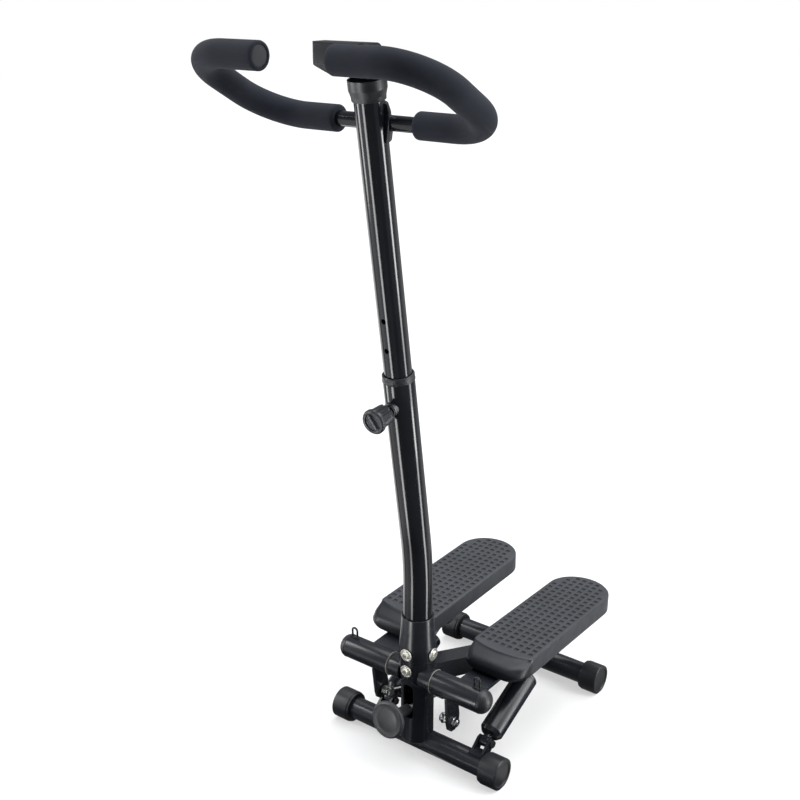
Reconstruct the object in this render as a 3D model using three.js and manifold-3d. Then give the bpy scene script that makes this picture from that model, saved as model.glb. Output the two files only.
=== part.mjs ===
// Upright stepper with a handlebar: two pedals rock in opposition about one axle and are linked by
// a cable round a pulley, two hydraulic cylinders resist them, and a telescopic post carries the bar.
// Units are millimetres. +Z is up, +Y is the rear, where the user climbs on, and +X is to the right
// as seen from the front.
import * as THREE from 'three';
import { mergeVertices } from 'three/addons/utils/BufferGeometryUtils.js';
import Module from 'manifold-3d';

const wasm = await Module();
wasm.setup();
const { Manifold, Mesh: SolidMesh } = wasm;

// ---------------------------------------------------------------- driving dimensions
const GAP = 0.3;                // clearance between pieces that touch
const ORIGIN_Y = 68.2;          // from the front stabilizer's axis back to the part's origin

const TUBE_R = 19;              // stabilizer tubes, 38 mm
const TUBE_WALL = 2;
const BASE_W = 339;             // over both foot caps
const BASE_D = 336;             // between the stabilizer axes
const CAP_R = 27;
const CAP_LEN = 34;
const CAP_GRIP = 26;            // how far a cap covers its tube
const FOOT_FLAT = 2.1;          // depth of the flat under each cap
const AXIS_Z = CAP_R - FOOT_FLAT;

const UPRIGHT_R = 27.5;
const UPRIGHT_BULGE_R = 31;
const UPRIGHT_TOP_Z = 264;
const UPRIGHT_Y = -3;
const BOLT_ZS = [171.5, 202];   // bolts on the upright's front
const SIDE_BOLT_Z = 200;
const BEAM_W = 40;
const BEAM_H = 32;
const BEAM_FRONT_Z = 168;       // top of the beam where it leaves the upright
const BEAM_REAR_Z = 46;         // top of the beam over the rear stabilizer

const PIVOT_Y = -13.6;
const PIVOT_Z = 158.6;
const AXLE_R = 10;
const SLEEVE_R = 20;
const SLEEVE_IN = 44.5;
const SLEEVE_OUT = 134.5;
const CAP_DOME = 16.5;          // length of the dome on each sleeve's outer end
const AXLE_HALF = 130;          // half the length of the pivot axle
const BUSH_R = 16;

const PEDAL_X = 99.5;           // pedal centre line from the middle of the machine
const PEDAL_W = 115;
const PEDAL_TOP_Z = 187;
const PEDAL_SIDE = 30;          // height of the pedal's side wall
const PEDAL_FRONT_Y = 58;       // foremost point of the pedal's nose
const PEDAL_REAR_Y = 412.5;
const PEDAL_NOSE = 36;          // from there back to the flat of the tread
const PEDAL_HEEL = 55;          // length of the half ellipse that ends the pedal
const REST_ROCK = 1.4;          // degrees the left pedal stands above level, and the right below
const ARM_W = 70;
const ARM_NECK = 16;            // the neck's outer edge, from the pedal's middle
const ARM_NECK_TOP = 152;       // top of the neck, which passes under the pedal's nose

const CYLINDER_SHIFT = 20;      // each cylinder sits this far to the right of its pedal's middle
const CYLINDER_FOOT = { y: 24, z: 54 };
const CYLINDER_HEAD = { y: 190, z: 133 };
const CYLINDER_R = 18.5;
const CYLINDER_START = 14;      // along the axis, from the foot pivot
const CYLINDER_END = 134;
const ROD_R = 5;
const LINK_PIN_R = 4;

const MECH_TILT = 10;           // the cable's plane falls this many degrees to the rear
const MECH_Z = 92;              // its height at the cable bolts
const CABLE_BOLT = { x: 66, y: -6 };
const LEVER_X = 75;
const PULLEY_Y = 95;
const PULLEY_R = 28;
const CABLE_R = 2;
const CABLE_FREE = 32;          // from each bolt to the end of the cable's solid
const ADJUSTER_Y = -88;
const ADJUSTER_R = 31;

const LOWER_POST_R = 23.9;
const UPPER_POST_R = 20.85;
const POST_WALL = 2;
const POST_LEAN = 9;            // degrees forwards above the bend
const BEND_Z = 360;
const BEND_R = 600;
const LOWER_POST_FOOT_Z = 186;   // its foot, inside the upright
const LOWER_POST_TOP_Z = 683;
const PIN_Z = 645;
const HOLE_PITCH = 46.5;
const UPPER_POST_TOP_Z = 1104;

const BAR_R = 10.5;
const GRIP_R = 18.6;
const BAR_START = { y: -98.6, z: 1058 };
const BAR_END = { y: -258.3, z: 1148.4 };
const BAR_TIP_X = 62.5;
const BAR_STRAIGHT_X = 124;
const BAR_BEND_R = 70;
const GRIP_START_X = 67;
const CONSOLE_W = 84;

// ---------------------------------------------------------------- materials
const finish = (color, roughness, metalness) => () => (
  new THREE.MeshStandardMaterial({ color, roughness, metalness })
);
const blackPaint = finish(0x17181a, 0.25, 0.3);
const blackPlastic = finish(0x1c1d1f, 0.5, 0);
const greyPlastic = finish(0x3b3d42, 0.6, 0);
const foam = finish(0x2c2e33, 0.95, 0);
const chrome = finish(0xc9cdd1, 0.2, 1);
const zinc = finish(0xa9adb1, 0.4, 1);
const nylon = finish(0xd5d6d3, 0.5, 0);
const smokedWindow = finish(0x30353a, 0.1, 0);

// ---------------------------------------------------------------- solid helpers
const rad = THREE.MathUtils.degToRad;

function solid(geometry) {
  const bare = new THREE.BufferGeometry();
  bare.setAttribute('position', geometry.getAttribute('position').clone());
  if (geometry.index) bare.setIndex(geometry.index.clone());
  const merged = mergeVertices(bare, 1e-4);
  const corners = merged.index.array;
  const triVerts = [];
  for (let i = 0; i < corners.length; i += 3) {
    const [a, b, c] = corners.slice(i, i + 3);
    if (a !== b && b !== c && c !== a) triVerts.push(a, b, c);
  }
  return new Manifold(new SolidMesh({
    numProp: 3,
    vertProperties: new Float32Array(merged.getAttribute('position').array),
    triVerts: new Uint32Array(triVerts),
  }));
}

function surface(manifold) {
  const mesh = manifold.getMesh();
  const geometry = new THREE.BufferGeometry();
  geometry.setAttribute('position', new THREE.BufferAttribute(mesh.vertProperties, 3));
  geometry.setIndex(new THREE.BufferAttribute(mesh.triVerts, 1));
  geometry.computeVertexNormals();
  return geometry;
}

const join = (first, ...rest) => rest.reduce((sum, next) => sum.add(next), first);
const cut = (body, ...tools) => tools.reduce((left, tool) => left.subtract(tool), body);

// A box from its lowest to its highest corner.
function block(x0, x1, y0, y1, z0, z1) {
  const geometry = new THREE.BoxGeometry(x1 - x0, y1 - y0, z1 - z0);
  return solid(geometry.translate((x0 + x1) / 2, (y0 + y1) / 2, (z0 + z1) / 2));
}

// A round bar of radius r from point a to point b; r2 is its radius at b.
function bar(a, b, r, sides = 24, r2 = r) {
  const from = new THREE.Vector3(...a);
  const along = new THREE.Vector3(...b).sub(from);
  const geometry = new THREE.CylinderGeometry(r2, r, along.length(), sides);
  const turn = new THREE.Quaternion().setFromUnitVectors(
    new THREE.Vector3(0, 1, 0), along.clone().normalize());
  geometry.applyQuaternion(turn);
  const middle = from.addScaledVector(along, 0.5);
  return solid(geometry.translate(middle.x, middle.y, middle.z));
}

// A profile of [radius, height] points turned about Z.
function turned(profile, sides = 24) {
  const points = profile.map(([r, h]) => new THREE.Vector2(r, h));
  const geometry = new THREE.LatheGeometry(points, sides);
  return solid(geometry.rotateX(Math.PI / 2));
}

// The same, with the profile's height pointing along `axis` from `origin`.
function turnedAlong(profile, origin, axis, sides = 24) {
  const turn = new THREE.Quaternion().setFromUnitVectors(
    new THREE.Vector3(0, 0, 1), new THREE.Vector3(...axis).normalize());
  const geometry = surface(turned(profile, sides)).applyQuaternion(turn);
  return solid(geometry.translate(...origin));
}

// An outline in the YZ plane, extruded along X from x0 to x1.
function slabX(outline, x0, x1) {
  const geometry = new THREE.ExtrudeGeometry(outline, {
    depth: x1 - x0, bevelEnabled: false, curveSegments: 8 });
  geometry.applyMatrix4(new THREE.Matrix4().makeBasis(
    new THREE.Vector3(0, 1, 0), new THREE.Vector3(0, 0, 1), new THREE.Vector3(1, 0, 0)));
  return solid(geometry.translate(x0, 0, 0));
}

// An outline in the XY plane, extruded along Z from z0 to z1.
function slabZ(outline, z0, z1, curveSegments = 8) {
  const geometry = new THREE.ExtrudeGeometry(outline, {
    depth: z1 - z0, bevelEnabled: false, curveSegments });
  return solid(geometry.translate(0, 0, z0));
}

function polygon(points) {
  return new THREE.Shape(points.map(([a, b]) => new THREE.Vector2(a, b)));
}

// A regular outline of the given radius, which follows a round bar when `sides` is high.
function ring(radius, sides) {
  return polygon(Array.from({ length: sides }, (_, i) => {
    const angle = (i * 2 * Math.PI) / sides;
    return [radius * Math.cos(angle), radius * Math.sin(angle)];
  }));
}

// A path through given stations, which turns only where they do.
class Route extends THREE.Curve {
  constructor(stations) {
    super();
    this.stations = stations;
  }

  getPointAt(u) {
    return this.stations[Math.round(u * (this.stations.length - 1))].clone();
  }

  getTangentAt(u) {
    const i = Math.round(u * (this.stations.length - 1));
    const at = (k) => this.stations[Math.min(Math.max(k, 0), this.stations.length - 1)];
    const before = at(i).clone().sub(at(i - 1)).normalize();
    return at(i + 1).clone().sub(at(i)).normalize().add(before).normalize();
  }
}

// A round section of radius r swept through the stations.
function swept(stations, r, sides) {
  return solid(new THREE.ExtrudeGeometry(ring(r, sides), {
    extrudePath: new Route(stations), steps: stations.length - 1, bevelEnabled: false }));
}

// Stations along an arc; `at` gives the point at an angle.
function arcStations(at, from, to, pieces) {
  return Array.from({ length: pieces + 1 }, (_, i) => at(from + ((to - from) * i) / pieces));
}

// A hexagonal prism along X from x0 to x1, centred on (y, z).
function hexX(acrossFlats, x0, x1, y, z) {
  const [low, high] = [Math.min(x0, x1), Math.max(x0, x1)];
  return slabX(ring(acrossFlats / Math.sqrt(3), 6), low, high).translate([0, y, z]);
}

// ---------------------------------------------------------------- scene graph
const stepper = new THREE.Group();
stepper.position.y = -ORIGIN_Y;

function addPart(parent, name, body, material) {
  const mesh = new THREE.Mesh(surface(body), material());
  mesh.name = name;
  parent.add(mesh);
}

// Pieces that rock about the pivot are drawn with their pedal level, inside a turned group.
function rockingGroup(side) {
  const group = new THREE.Group();
  const angle = rad(-side.sign * REST_ROCK);
  group.rotation.x = angle;
  group.position.set(0,
    PIVOT_Y - (PIVOT_Y * Math.cos(angle) - PIVOT_Z * Math.sin(angle)),
    PIVOT_Z - (PIVOT_Y * Math.sin(angle) + PIVOT_Z * Math.cos(angle)));
  stepper.add(group);
  return group;
}

const SIDES = [
  { name: 'left', sign: -1 },
  { name: 'right', sign: 1 },
];

// ---------------------------------------------------------------- base frame
function stabilizer(y) {
  const reach = BASE_W / 2 - CAP_LEN + CAP_GRIP;
  const tube = bar([-reach, y, AXIS_Z], [reach, y, AXIS_Z], TUBE_R, 28);
  const inside = TUBE_R - TUBE_WALL;
  return cut(tube, bar([-BASE_W, y, AXIS_Z], [BASE_W, y, AXIS_Z], inside, 28));
}

function footCap(sign, y) {
  const seat = TUBE_R + GAP;
  const profile = [
    [seat, 0], [CAP_R - 1.6, 0], [CAP_R, 4], [CAP_R, CAP_LEN - 4], [CAP_R - 4, CAP_LEN],
    [0, CAP_LEN], [0, CAP_GRIP + GAP], [seat, CAP_GRIP + GAP], [seat, 0],
  ];
  const start = [sign * (BASE_W / 2 - CAP_LEN), y, AXIS_Z];
  const cap = turnedAlong(profile, start, [sign, 0, 0]);
  return cut(cap, block(-BASE_W, BASE_W, y - CAP_R, y + CAP_R, -5, 0));
}

function mainBeam() {
  const drop = (BEAM_FRONT_Z - BEAM_REAR_Z) / (BASE_D - 14);
  const top = (y) => BEAM_FRONT_Z - (y - 14) * drop;
  const depth = BEAM_H / Math.cos(Math.atan(drop));
  const tube = (inset) => slabX(polygon([
    [-20, top(-20) - depth + inset * 1.06], [BASE_D + 8, top(BASE_D + 8) - depth + inset * 1.06],
    [BASE_D + 8, top(BASE_D + 8) - inset * 1.06], [-20, top(-20) - inset * 1.06],
  ]), -BEAM_W / 2 + inset, BEAM_W / 2 - inset);
  return cut(
    cut(tube(0), tube(2.5)),
    block(-BEAM_W, BEAM_W, -60, UPRIGHT_Y, 0, 300),
    turned([[0, 0], [UPRIGHT_BULGE_R + GAP, 0], [UPRIGHT_BULGE_R + GAP, 260], [0, 260]])
      .translate([0, UPRIGHT_Y, 0]),
    bar([-60, BASE_D, AXIS_Z], [60, BASE_D, AXIS_Z], TUBE_R + GAP, 40),
    block(-BEAM_W, BEAM_W, BASE_D, BASE_D + 60, -20, 100));
}

function upright() {
  const bore = LOWER_POST_R + GAP;
  const shell = turned([
    [bore, 30], [UPRIGHT_R, 30], [UPRIGHT_R, 142], [UPRIGHT_BULGE_R, 158],
    [UPRIGHT_BULGE_R, 206], [UPRIGHT_R + 1, 232], [bore + 2.4, UPRIGHT_TOP_Z],
    [bore, UPRIGHT_TOP_Z], [bore, 30],
  ]).translate([0, UPRIGHT_Y, 0]);
  const boss = cut(
    bar([-SLEEVE_IN + 2.2, PIVOT_Y, PIVOT_Z], [SLEEVE_IN - 2.2, PIVOT_Y, PIVOT_Z], 18.5, 28),
    bar([0, UPRIGHT_Y, 0], [0, UPRIGHT_Y, 300], UPRIGHT_R - 1, 24));
  const slotR = 10;
  const slot = join(
    bar([0, -60, 91], [0, -12, 91], slotR, 20),
    bar([0, -60, 132], [0, -12, 132], slotR, 20),
    block(-slotR, slotR, -60, -12, 91, 132));
  return cut(
    join(shell, boss),
    bar([-80, PIVOT_Y, PIVOT_Z], [80, PIVOT_Y, PIVOT_Z], AXLE_R + 0.05, 24),
    bar([-60, 0, AXIS_Z], [60, 0, AXIS_Z], TUBE_R + GAP, 40),
    block(-60, 60, -60, 60, 0, AXIS_Z),
    slot,
    bar([0, 0, MECH_Z], [0, 60, MECH_Z - 9], 9, 16),
    ...BOLT_ZS.map((z) => bar([0, -60, z], [0, -12, z], 4.3, 12)),
    bar([12, UPRIGHT_Y, SIDE_BOLT_Z], [60, UPRIGHT_Y, SIDE_BOLT_Z], 4.3, 12));
}

// Button-head bolt on a round washer, at `seat` on a surface, pointing out along `out`.
function socketBolt(seat, out) {
  const profile = [
    [0, -7.5], [3.9, -7.5], [3.9, 0], [10.5, 0], [10.5, 1.8], [8.8, 1.8], [8.2, 4.4], [5, 6.6],
    [0, 6.6],
  ];
  return turnedAlong(profile, seat, out, 14);
}

addPart(stepper, 'front_stabilizer', stabilizer(0), blackPaint);
addPart(stepper, 'rear_stabilizer', stabilizer(BASE_D), blackPaint);
for (const [place, y] of [['front', 0], ['rear', BASE_D]]) {
  for (const side of SIDES) {
    addPart(stepper, `${place}_${side.name}_foot_cap`, footCap(side.sign, y), blackPlastic);
  }
}
addPart(stepper, 'main_beam', mainBeam(), blackPaint);
addPart(stepper, 'upright', upright(), blackPaint);

const boltFace = UPRIGHT_BULGE_R + GAP;
for (const [i, place] of ['lower', 'upper'].entries()) {
  addPart(stepper, `upright_bolt_${place}`,
    socketBolt([0, UPRIGHT_Y - boltFace, BOLT_ZS[i]], [0, -1, 0]), chrome);
}
addPart(stepper, 'upright_bolt_side',
  socketBolt([boltFace, UPRIGHT_Y, SIDE_BOLT_Z], [1, 0, 0]), chrome);

// ---------------------------------------------------------------- post
const leanSlope = Math.tan(rad(POST_LEAN));
const postY = (z) => UPRIGHT_Y - (z - BEND_Z) * leanSlope;
const postUp = [0, -Math.sin(rad(POST_LEAN)), Math.cos(rad(POST_LEAN))];
const postAt = (z, along = 0) => [0, postY(z) + postUp[1] * along, z + postUp[2] * along];

// The lower post's centre line: vertical, one large arc, then straight at the lean.
function lowerPostLine() {
  const half = BEND_R * Math.tan(rad(POST_LEAN) / 2);
  const arc = arcStations((angle) => new THREE.Vector3(0,
    UPRIGHT_Y - BEND_R * (1 - Math.cos(angle)),
    BEND_Z - half + BEND_R * Math.sin(angle)), 0, rad(POST_LEAN), 4);
  return [
    new THREE.Vector3(0, UPRIGHT_Y, LOWER_POST_FOOT_Z), ...arc,
    new THREE.Vector3(...postAt(LOWER_POST_TOP_Z)),
  ];
}

function lowerPost() {
  const [, pinY, pinZ] = postAt(PIN_Z);
  return cut(
    swept(lowerPostLine(), LOWER_POST_R, 24),
    swept(lowerPostLine(), LOWER_POST_R - POST_WALL, 24),
    ...BOLT_ZS.map((z) => bar([0, -60, z], [0, -12, z], 4.3, 12)),
    bar([12, UPRIGHT_Y, SIDE_BOLT_Z], [60, UPRIGHT_Y, SIDE_BOLT_Z], 4.3, 12),
    bar([0, pinY, pinZ], [0, pinY - 60, pinZ], 4.4, 12));
}

function upperPost() {
  const start = postAt(PIN_Z, -36);
  const length = (UPPER_POST_TOP_Z - start[2]) / postUp[2];
  const round = (r, from, height) => turnedAlong(
    [[0, from], [r, from], [r, height], [0, height]], start, postUp, 28);
  const holes = [0, 1, 2, 3].map((i) => {
    const [, y, z] = postAt(PIN_Z, i * HOLE_PITCH);
    return bar([0, y, z], [0, y - 60, z], 4, 12);
  });
  return cut(
    round(UPPER_POST_R, 0, length),
    round(UPPER_POST_R - POST_WALL, -10, length + 10),
    ...holes,
    bar([-60, BAR_START.y, BAR_START.z], [60, BAR_START.y, BAR_START.z], BAR_R + GAP, 24));
}

// Plastic guide in the mouth of the lower post, with a collar over its rim.
function postBushing() {
  const outside = LOWER_POST_R - POST_WALL - GAP;
  const inside = UPPER_POST_R + GAP;
  return turnedAlong([
    [inside, -30], [outside, -30], [outside, GAP], [LOWER_POST_R + 0.9, GAP],
    [LOWER_POST_R + 0.9, 9], [LOWER_POST_R - 0.6, 11], [inside, 11], [inside, -30],
  ], postAt(LOWER_POST_TOP_Z), postUp, 24);
}

// Threaded seat of the pull pin, welded to the front of the lower post.
function pinSeat() {
  const [, y, z] = postAt(PIN_Z);
  const seat = turnedAlong([
    [4.4, 10], [11, 10], [11, LOWER_POST_R + 6], [8.5, LOWER_POST_R + 6],
    [8.5, LOWER_POST_R + 12], [4.4, LOWER_POST_R + 12], [4.4, 10],
  ], [0, y, z], [0, -1, 0], 20);
  return cut(seat, turnedAlong(
    [[0, -60], [LOWER_POST_R + GAP, -60], [LOWER_POST_R + GAP, 60], [0, 60]],
    [0, y, z], postUp, 28));
}

const pinFace = 65;             // from the post's axis to the knob's front face

function pullPin() {
  const [, y, z] = postAt(PIN_Z);
  const start = UPPER_POST_R + 1.6;
  const pinBody = turnedAlong([
    [0, start], [3.6, start], [3.6, LOWER_POST_R + 13], [13, LOWER_POST_R + 13],
    [14.5, LOWER_POST_R + 18], [21, pinFace - 9], [22.5, pinFace - 4], [21, pinFace],
    [15, pinFace], [13, pinFace - 2], [0, pinFace - 2],
  ], [0, y, z], [0, -1, 0], 24);
  const flutes = Array.from({ length: 8 }, (_, i) => {
    const angle = ((i + 0.5) * Math.PI) / 4;
    const [x, up] = [Math.cos(angle), Math.sin(angle)];
    return bar([20 * x, y - LOWER_POST_R - 11, z + 20 * up],
      [27 * x, y - pinFace + 3, z + 27 * up], 5, 8);
  });
  return cut(pinBody, ...flutes);
}

addPart(stepper, 'lower_post', lowerPost(), blackPaint);
addPart(stepper, 'post_bushing', postBushing(), blackPlastic);
addPart(stepper, 'pin_seat', pinSeat(), zinc);
addPart(stepper, 'pull_pin', pullPin(), blackPlastic);
addPart(stepper, 'upper_post', upperPost(), blackPaint);

// ---------------------------------------------------------------- handlebar and console
// Centre line of one half of the bar: out along X, round two bends in a sloping plane that rises
// towards the front, and back in along X.
function barHalf(sign, fromX, toX) {
  const start = new THREE.Vector3(0, BAR_START.y, BAR_START.z);
  const rise = new THREE.Vector3(0, BAR_END.y, BAR_END.z).sub(start);
  const height = rise.length();
  const climb = rise.normalize();
  const at = (x, up) => start.clone().addScaledVector(climb, up).setX(sign * x);
  const bend = (centreUp, from, to) => arcStations((angle) => at(
    BAR_STRAIGHT_X + BAR_BEND_R * Math.cos(angle),
    centreUp + BAR_BEND_R * Math.sin(angle)), from, to, 5);
  return [
    at(fromX, 0), ...bend(BAR_BEND_R, -Math.PI / 2, 0),
    ...bend(height - BAR_BEND_R, 0, Math.PI / 2), at(toX, height),
  ];
}

function handlebar() {
  return join(...SIDES.map((side) => (
    swept(barHalf(side.sign, -1, BAR_TIP_X + 6), BAR_R, 14))));
}

function foamGrip(sign) {
  return cut(
    swept(barHalf(sign, GRIP_START_X, BAR_TIP_X), GRIP_R, 18),
    swept(barHalf(sign, GRIP_START_X - 8, BAR_TIP_X - 8), BAR_R + GAP, 14));
}

function gripEndPlug(sign) {
  const tip = BAR_TIP_X + 6 - GAP;
  return turnedAlong([
    [0, 0], [BAR_R - 0.5, 0], [BAR_R - 0.5, 1.6], [BAR_R - 2.5, 3.6], [0, 4.2],
  ], [sign * tip, BAR_END.y, BAR_END.z], [-sign, 0, 0], 20);
}

// A cradle that wraps the back of the post and holds the bar, which passes through both.
function barSaddle() {
  const centre = postAt(BAR_START.z);
  const shell = turnedAlong([
    [UPPER_POST_R + GAP, -25], [UPPER_POST_R + 4, -25], [UPPER_POST_R + 7, -14],
    [UPPER_POST_R + 7, 14], [UPPER_POST_R + 4, 25], [UPPER_POST_R + GAP, 25],
    [UPPER_POST_R + GAP, -25],
  ], centre, postUp, 28);
  return cut(
    shell,
    block(-60, 60, -220, centre[1] + 2, 950, 1150),
    bar([-60, BAR_START.y, BAR_START.z], [60, BAR_START.y, BAR_START.z], BAR_R + GAP, 24));
}

const displayLow = { y: -108, z: 1126 };
const displayHigh = { y: -150, z: 1163 };
const displayTilt = Math.atan2(displayHigh.z - displayLow.z, displayLow.y - displayHigh.y);
const displayOut = [0, Math.sin(displayTilt), Math.cos(displayTilt)];

// A point on the display face: `up` from its lower edge, `lift` off the surface.
function displayPoint(x, up, lift) {
  return [x,
    displayLow.y - up * Math.cos(displayTilt) + lift * displayOut[1],
    displayLow.z + up * Math.sin(displayTilt) + lift * displayOut[2]];
}

function displayBlock(x0, x1, up0, up1, lift0, lift1) {
  return block(x0, x1, -up1, -up0, lift0, lift1)
    .rotate([-THREE.MathUtils.radToDeg(displayTilt), 0, 0])
    .translate(displayPoint(0, 0, 0));
}

function consoleHousing() {
  const side = polygon([
    [-187, 1137], [-187, 1158], [-182, 1163], [displayHigh.y, displayHigh.z],
    [displayLow.y, displayLow.z], [-105, 1122], [-107, 1113], [-135, 1107.5], [-150, 1112],
  ]);
  const corner = 9;
  const plan = new THREE.Shape();
  const [x, front, rear] = [CONSOLE_W / 2, -190, -100];
  plan.moveTo(-x + corner, front);
  plan.lineTo(x - corner, front);
  plan.absarc(x - corner, front + corner, corner, -Math.PI / 2, 0, false);
  plan.lineTo(x, rear - corner);
  plan.absarc(x - corner, rear - corner, corner, 0, Math.PI / 2, false);
  plan.lineTo(-x + corner, rear);
  plan.absarc(-x + corner, rear - corner, corner, Math.PI / 2, Math.PI, false);
  plan.lineTo(-x, front + corner);
  plan.absarc(-x + corner, front + corner, corner, Math.PI, 1.5 * Math.PI, false);
  return cut(
    slabX(side, -x, x).intersect(slabZ(plan, 1080, 1180, 5)),
    displayBlock(-31, 31, 20, 46, -2, 5),
    bar(displayPoint(0, 10.5, -5), displayPoint(0, 10.5, 6), 6 + GAP, 20),
    turnedAlong([[0, -30], [UPPER_POST_R + 6, -30], [UPPER_POST_R + 6, 8], [0, 8]],
      postAt(UPPER_POST_TOP_Z), postUp, 28));
}

function consoleNeck() {
  const r = UPPER_POST_R + GAP;
  return turnedAlong([
    [r, -16], [r + 1.8, -16], [r + 2.6, -11], [r + 5.2, -1], [r + 5.2, 7.5], [0, 7.5],
    [0, GAP], [r, GAP], [r, -16],
  ], postAt(UPPER_POST_TOP_Z), postUp, 28);
}

addPart(stepper, 'bar_saddle', barSaddle(), blackPaint);
addPart(stepper, 'handlebar', handlebar(), blackPaint);
for (const side of SIDES) {
  addPart(stepper, `${side.name}_foam_grip`, foamGrip(side.sign), foam);
  addPart(stepper, `${side.name}_grip_end_plug`, gripEndPlug(side.sign), blackPlastic);
}
addPart(stepper, 'console_neck', consoleNeck(), blackPlastic);
addPart(stepper, 'console_housing', consoleHousing(), blackPlastic);
addPart(stepper, 'console_window', displayBlock(-30.5, 30.5, 20.5, 45.5, -1.7, -0.2), smokedWindow);
addPart(stepper, 'console_button',
  bar(displayPoint(0, 10.5, -2.5), displayPoint(0, 10.5, 2), 6, 20), greyPlastic);

// ---------------------------------------------------------------- the cable's path
// Points in the cable's sloping plane: across, back along the slope, and up off it.
const slopeBack = new THREE.Vector3(0, Math.cos(rad(MECH_TILT)), -Math.sin(rad(MECH_TILT)));
const slopeUp = new THREE.Vector3(0, Math.sin(rad(MECH_TILT)), Math.cos(rad(MECH_TILT)));

function onSlope(x, back, up = 0) {
  return new THREE.Vector3(x, CABLE_BOLT.y, MECH_Z)
    .addScaledVector(slopeBack, back).addScaledVector(slopeUp, up);
}

// The cable runs from each bolt to the pulley, leaning inwards so that it meets it as a tangent.
const pulleyBack = (PULLEY_Y - CABLE_BOLT.y) / Math.cos(rad(MECH_TILT));
const grooveR = PULLEY_R - 3;
const wrapR = grooveR + CABLE_R - 0.6;
const cableLean = Math.atan2(CABLE_BOLT.x, pulleyBack)
  - Math.asin(wrapR / Math.hypot(CABLE_BOLT.x, pulleyBack));
const cableRun = (sign, distance) => onSlope(
  sign * (CABLE_BOLT.x - distance * Math.sin(cableLean)), distance * Math.cos(cableLean));

// ---------------------------------------------------------------- pedals and their arms
function sleeve(sign) {
  const body = turned([
    [BUSH_R + GAP, SLEEVE_IN], [SLEEVE_R, SLEEVE_IN], [SLEEVE_R, SLEEVE_OUT],
    [BUSH_R + GAP, SLEEVE_OUT], [BUSH_R + GAP, SLEEVE_IN],
  ]);
  return body.rotate([0, 90, 0]).scale([sign, 1, 1]).translate([0, PIVOT_Y, PIVOT_Z]);
}

// Bush in the inner end of the sleeve, with a flange against the sleeve's end.
function innerBush(sign) {
  const [bore, face] = [AXLE_R + 0.1, SLEEVE_IN - GAP];
  return turnedAlong([
    [bore, face - 1.8], [SLEEVE_R + 1, face - 1.8], [SLEEVE_R + 1, face], [BUSH_R, face],
    [BUSH_R, 66], [bore, 66], [bore, face - 1.8],
  ], [0, PIVOT_Y, PIVOT_Z], [sign, 0, 0], 24);
}

// Bush in the outer end of the sleeve, closed by the domed cap over the end of the axle.
function outerBush(sign) {
  const [bore, axleEnd] = [AXLE_R + 0.1, AXLE_HALF + 1];
  const dome = [15, 30, 45, 60, 75, 90].map((degrees) => [
    SLEEVE_R * Math.cos(rad(degrees)), SLEEVE_OUT + CAP_DOME * Math.sin(rad(degrees))]);
  return turnedAlong([
    [bore, axleEnd - 22], [BUSH_R, axleEnd - 22], [BUSH_R, SLEEVE_OUT + GAP],
    [SLEEVE_R, SLEEVE_OUT + GAP], ...dome, [0, axleEnd], [bore, axleEnd], [bore, axleEnd - 22],
  ], [0, PIVOT_Y, PIVOT_Z], [sign, 0, 0], 24);
}

// A bent wire loop on top of the sleeve, where a resistance band clips on.
function bandEyelet(sign) {
  const x = sign * 124;
  const [half, foot, top] = [4.5, PIVOT_Z + SLEEVE_R, PIVOT_Z + SLEEVE_R + 15];
  const arch = arcStations((angle) => new THREE.Vector3(
    x - half * Math.cos(angle), PIVOT_Y, top - half + half * Math.sin(angle)), 0, Math.PI, 6);
  const leg = (dx) => new THREE.Vector3(x + dx, PIVOT_Y, foot + 1);
  return join(
    swept([leg(-half), ...arch, leg(half)], 1.5, 8),
    block(x - 8, x + 8, PIVOT_Y - 3, PIVOT_Y + 3, foot + GAP, foot + 3));
}

// Steel arm under the pedal: a flat neck from the sleeve, then a channel along three quarters of
// the tread.
function pedalArm(centre, cylinderX) {
  const [x0, x1] = [centre - ARM_W / 2, centre + ARM_W / 2];
  const [low, high] = [146, 165.5];
  const side = polygon([
    [PIVOT_Y, low], [PIVOT_Y, ARM_NECK_TOP], [108, ARM_NECK_TOP], [132, high], [300, high],
    [300, low],
  ]);
  const out = Math.sign(centre);
  const neckEdge = centre + out * ARM_NECK;
  const [beyond0, beyond1] = [neckEdge, centre + out * (ARM_W / 2 + 1)].sort((a, b) => a - b);
  const channel = cut(
    slabX(side, x0, x1),
    block(x0 + 3, x1 - 3, 140, 301, low - 1, high - 3),
    block(beyond0, beyond1, PIVOT_Y - 1, 108, low - 1, high));
  const lug = (x) => slabX(polygon([
    [CYLINDER_HEAD.y - 18, high - 2], [CYLINDER_HEAD.y - 8, CYLINDER_HEAD.z - 3],
    [CYLINDER_HEAD.y - 3, CYLINDER_HEAD.z - 8], [CYLINDER_HEAD.y + 3, CYLINDER_HEAD.z - 8],
    [CYLINDER_HEAD.y + 8, CYLINDER_HEAD.z - 3], [CYLINDER_HEAD.y + 18, high - 2],
  ]), x, x + 3);
  return cut(
    join(channel, lug(cylinderX - 11), lug(cylinderX + 8)),
    bar([x0 - 5, PIVOT_Y, PIVOT_Z], [x1 + 5, PIVOT_Y, PIVOT_Z], SLEEVE_R + GAP, 32),
    block(x0 - 5, x1 + 5, PIVOT_Y - 5, PIVOT_Y, low - 5, high + 5),
    bar([cylinderX - 14, CYLINDER_HEAD.y, CYLINDER_HEAD.z],
      [cylinderX + 14, CYLINDER_HEAD.y, CYLINDER_HEAD.z], LINK_PIN_R + 0.1, 16));
}

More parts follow.
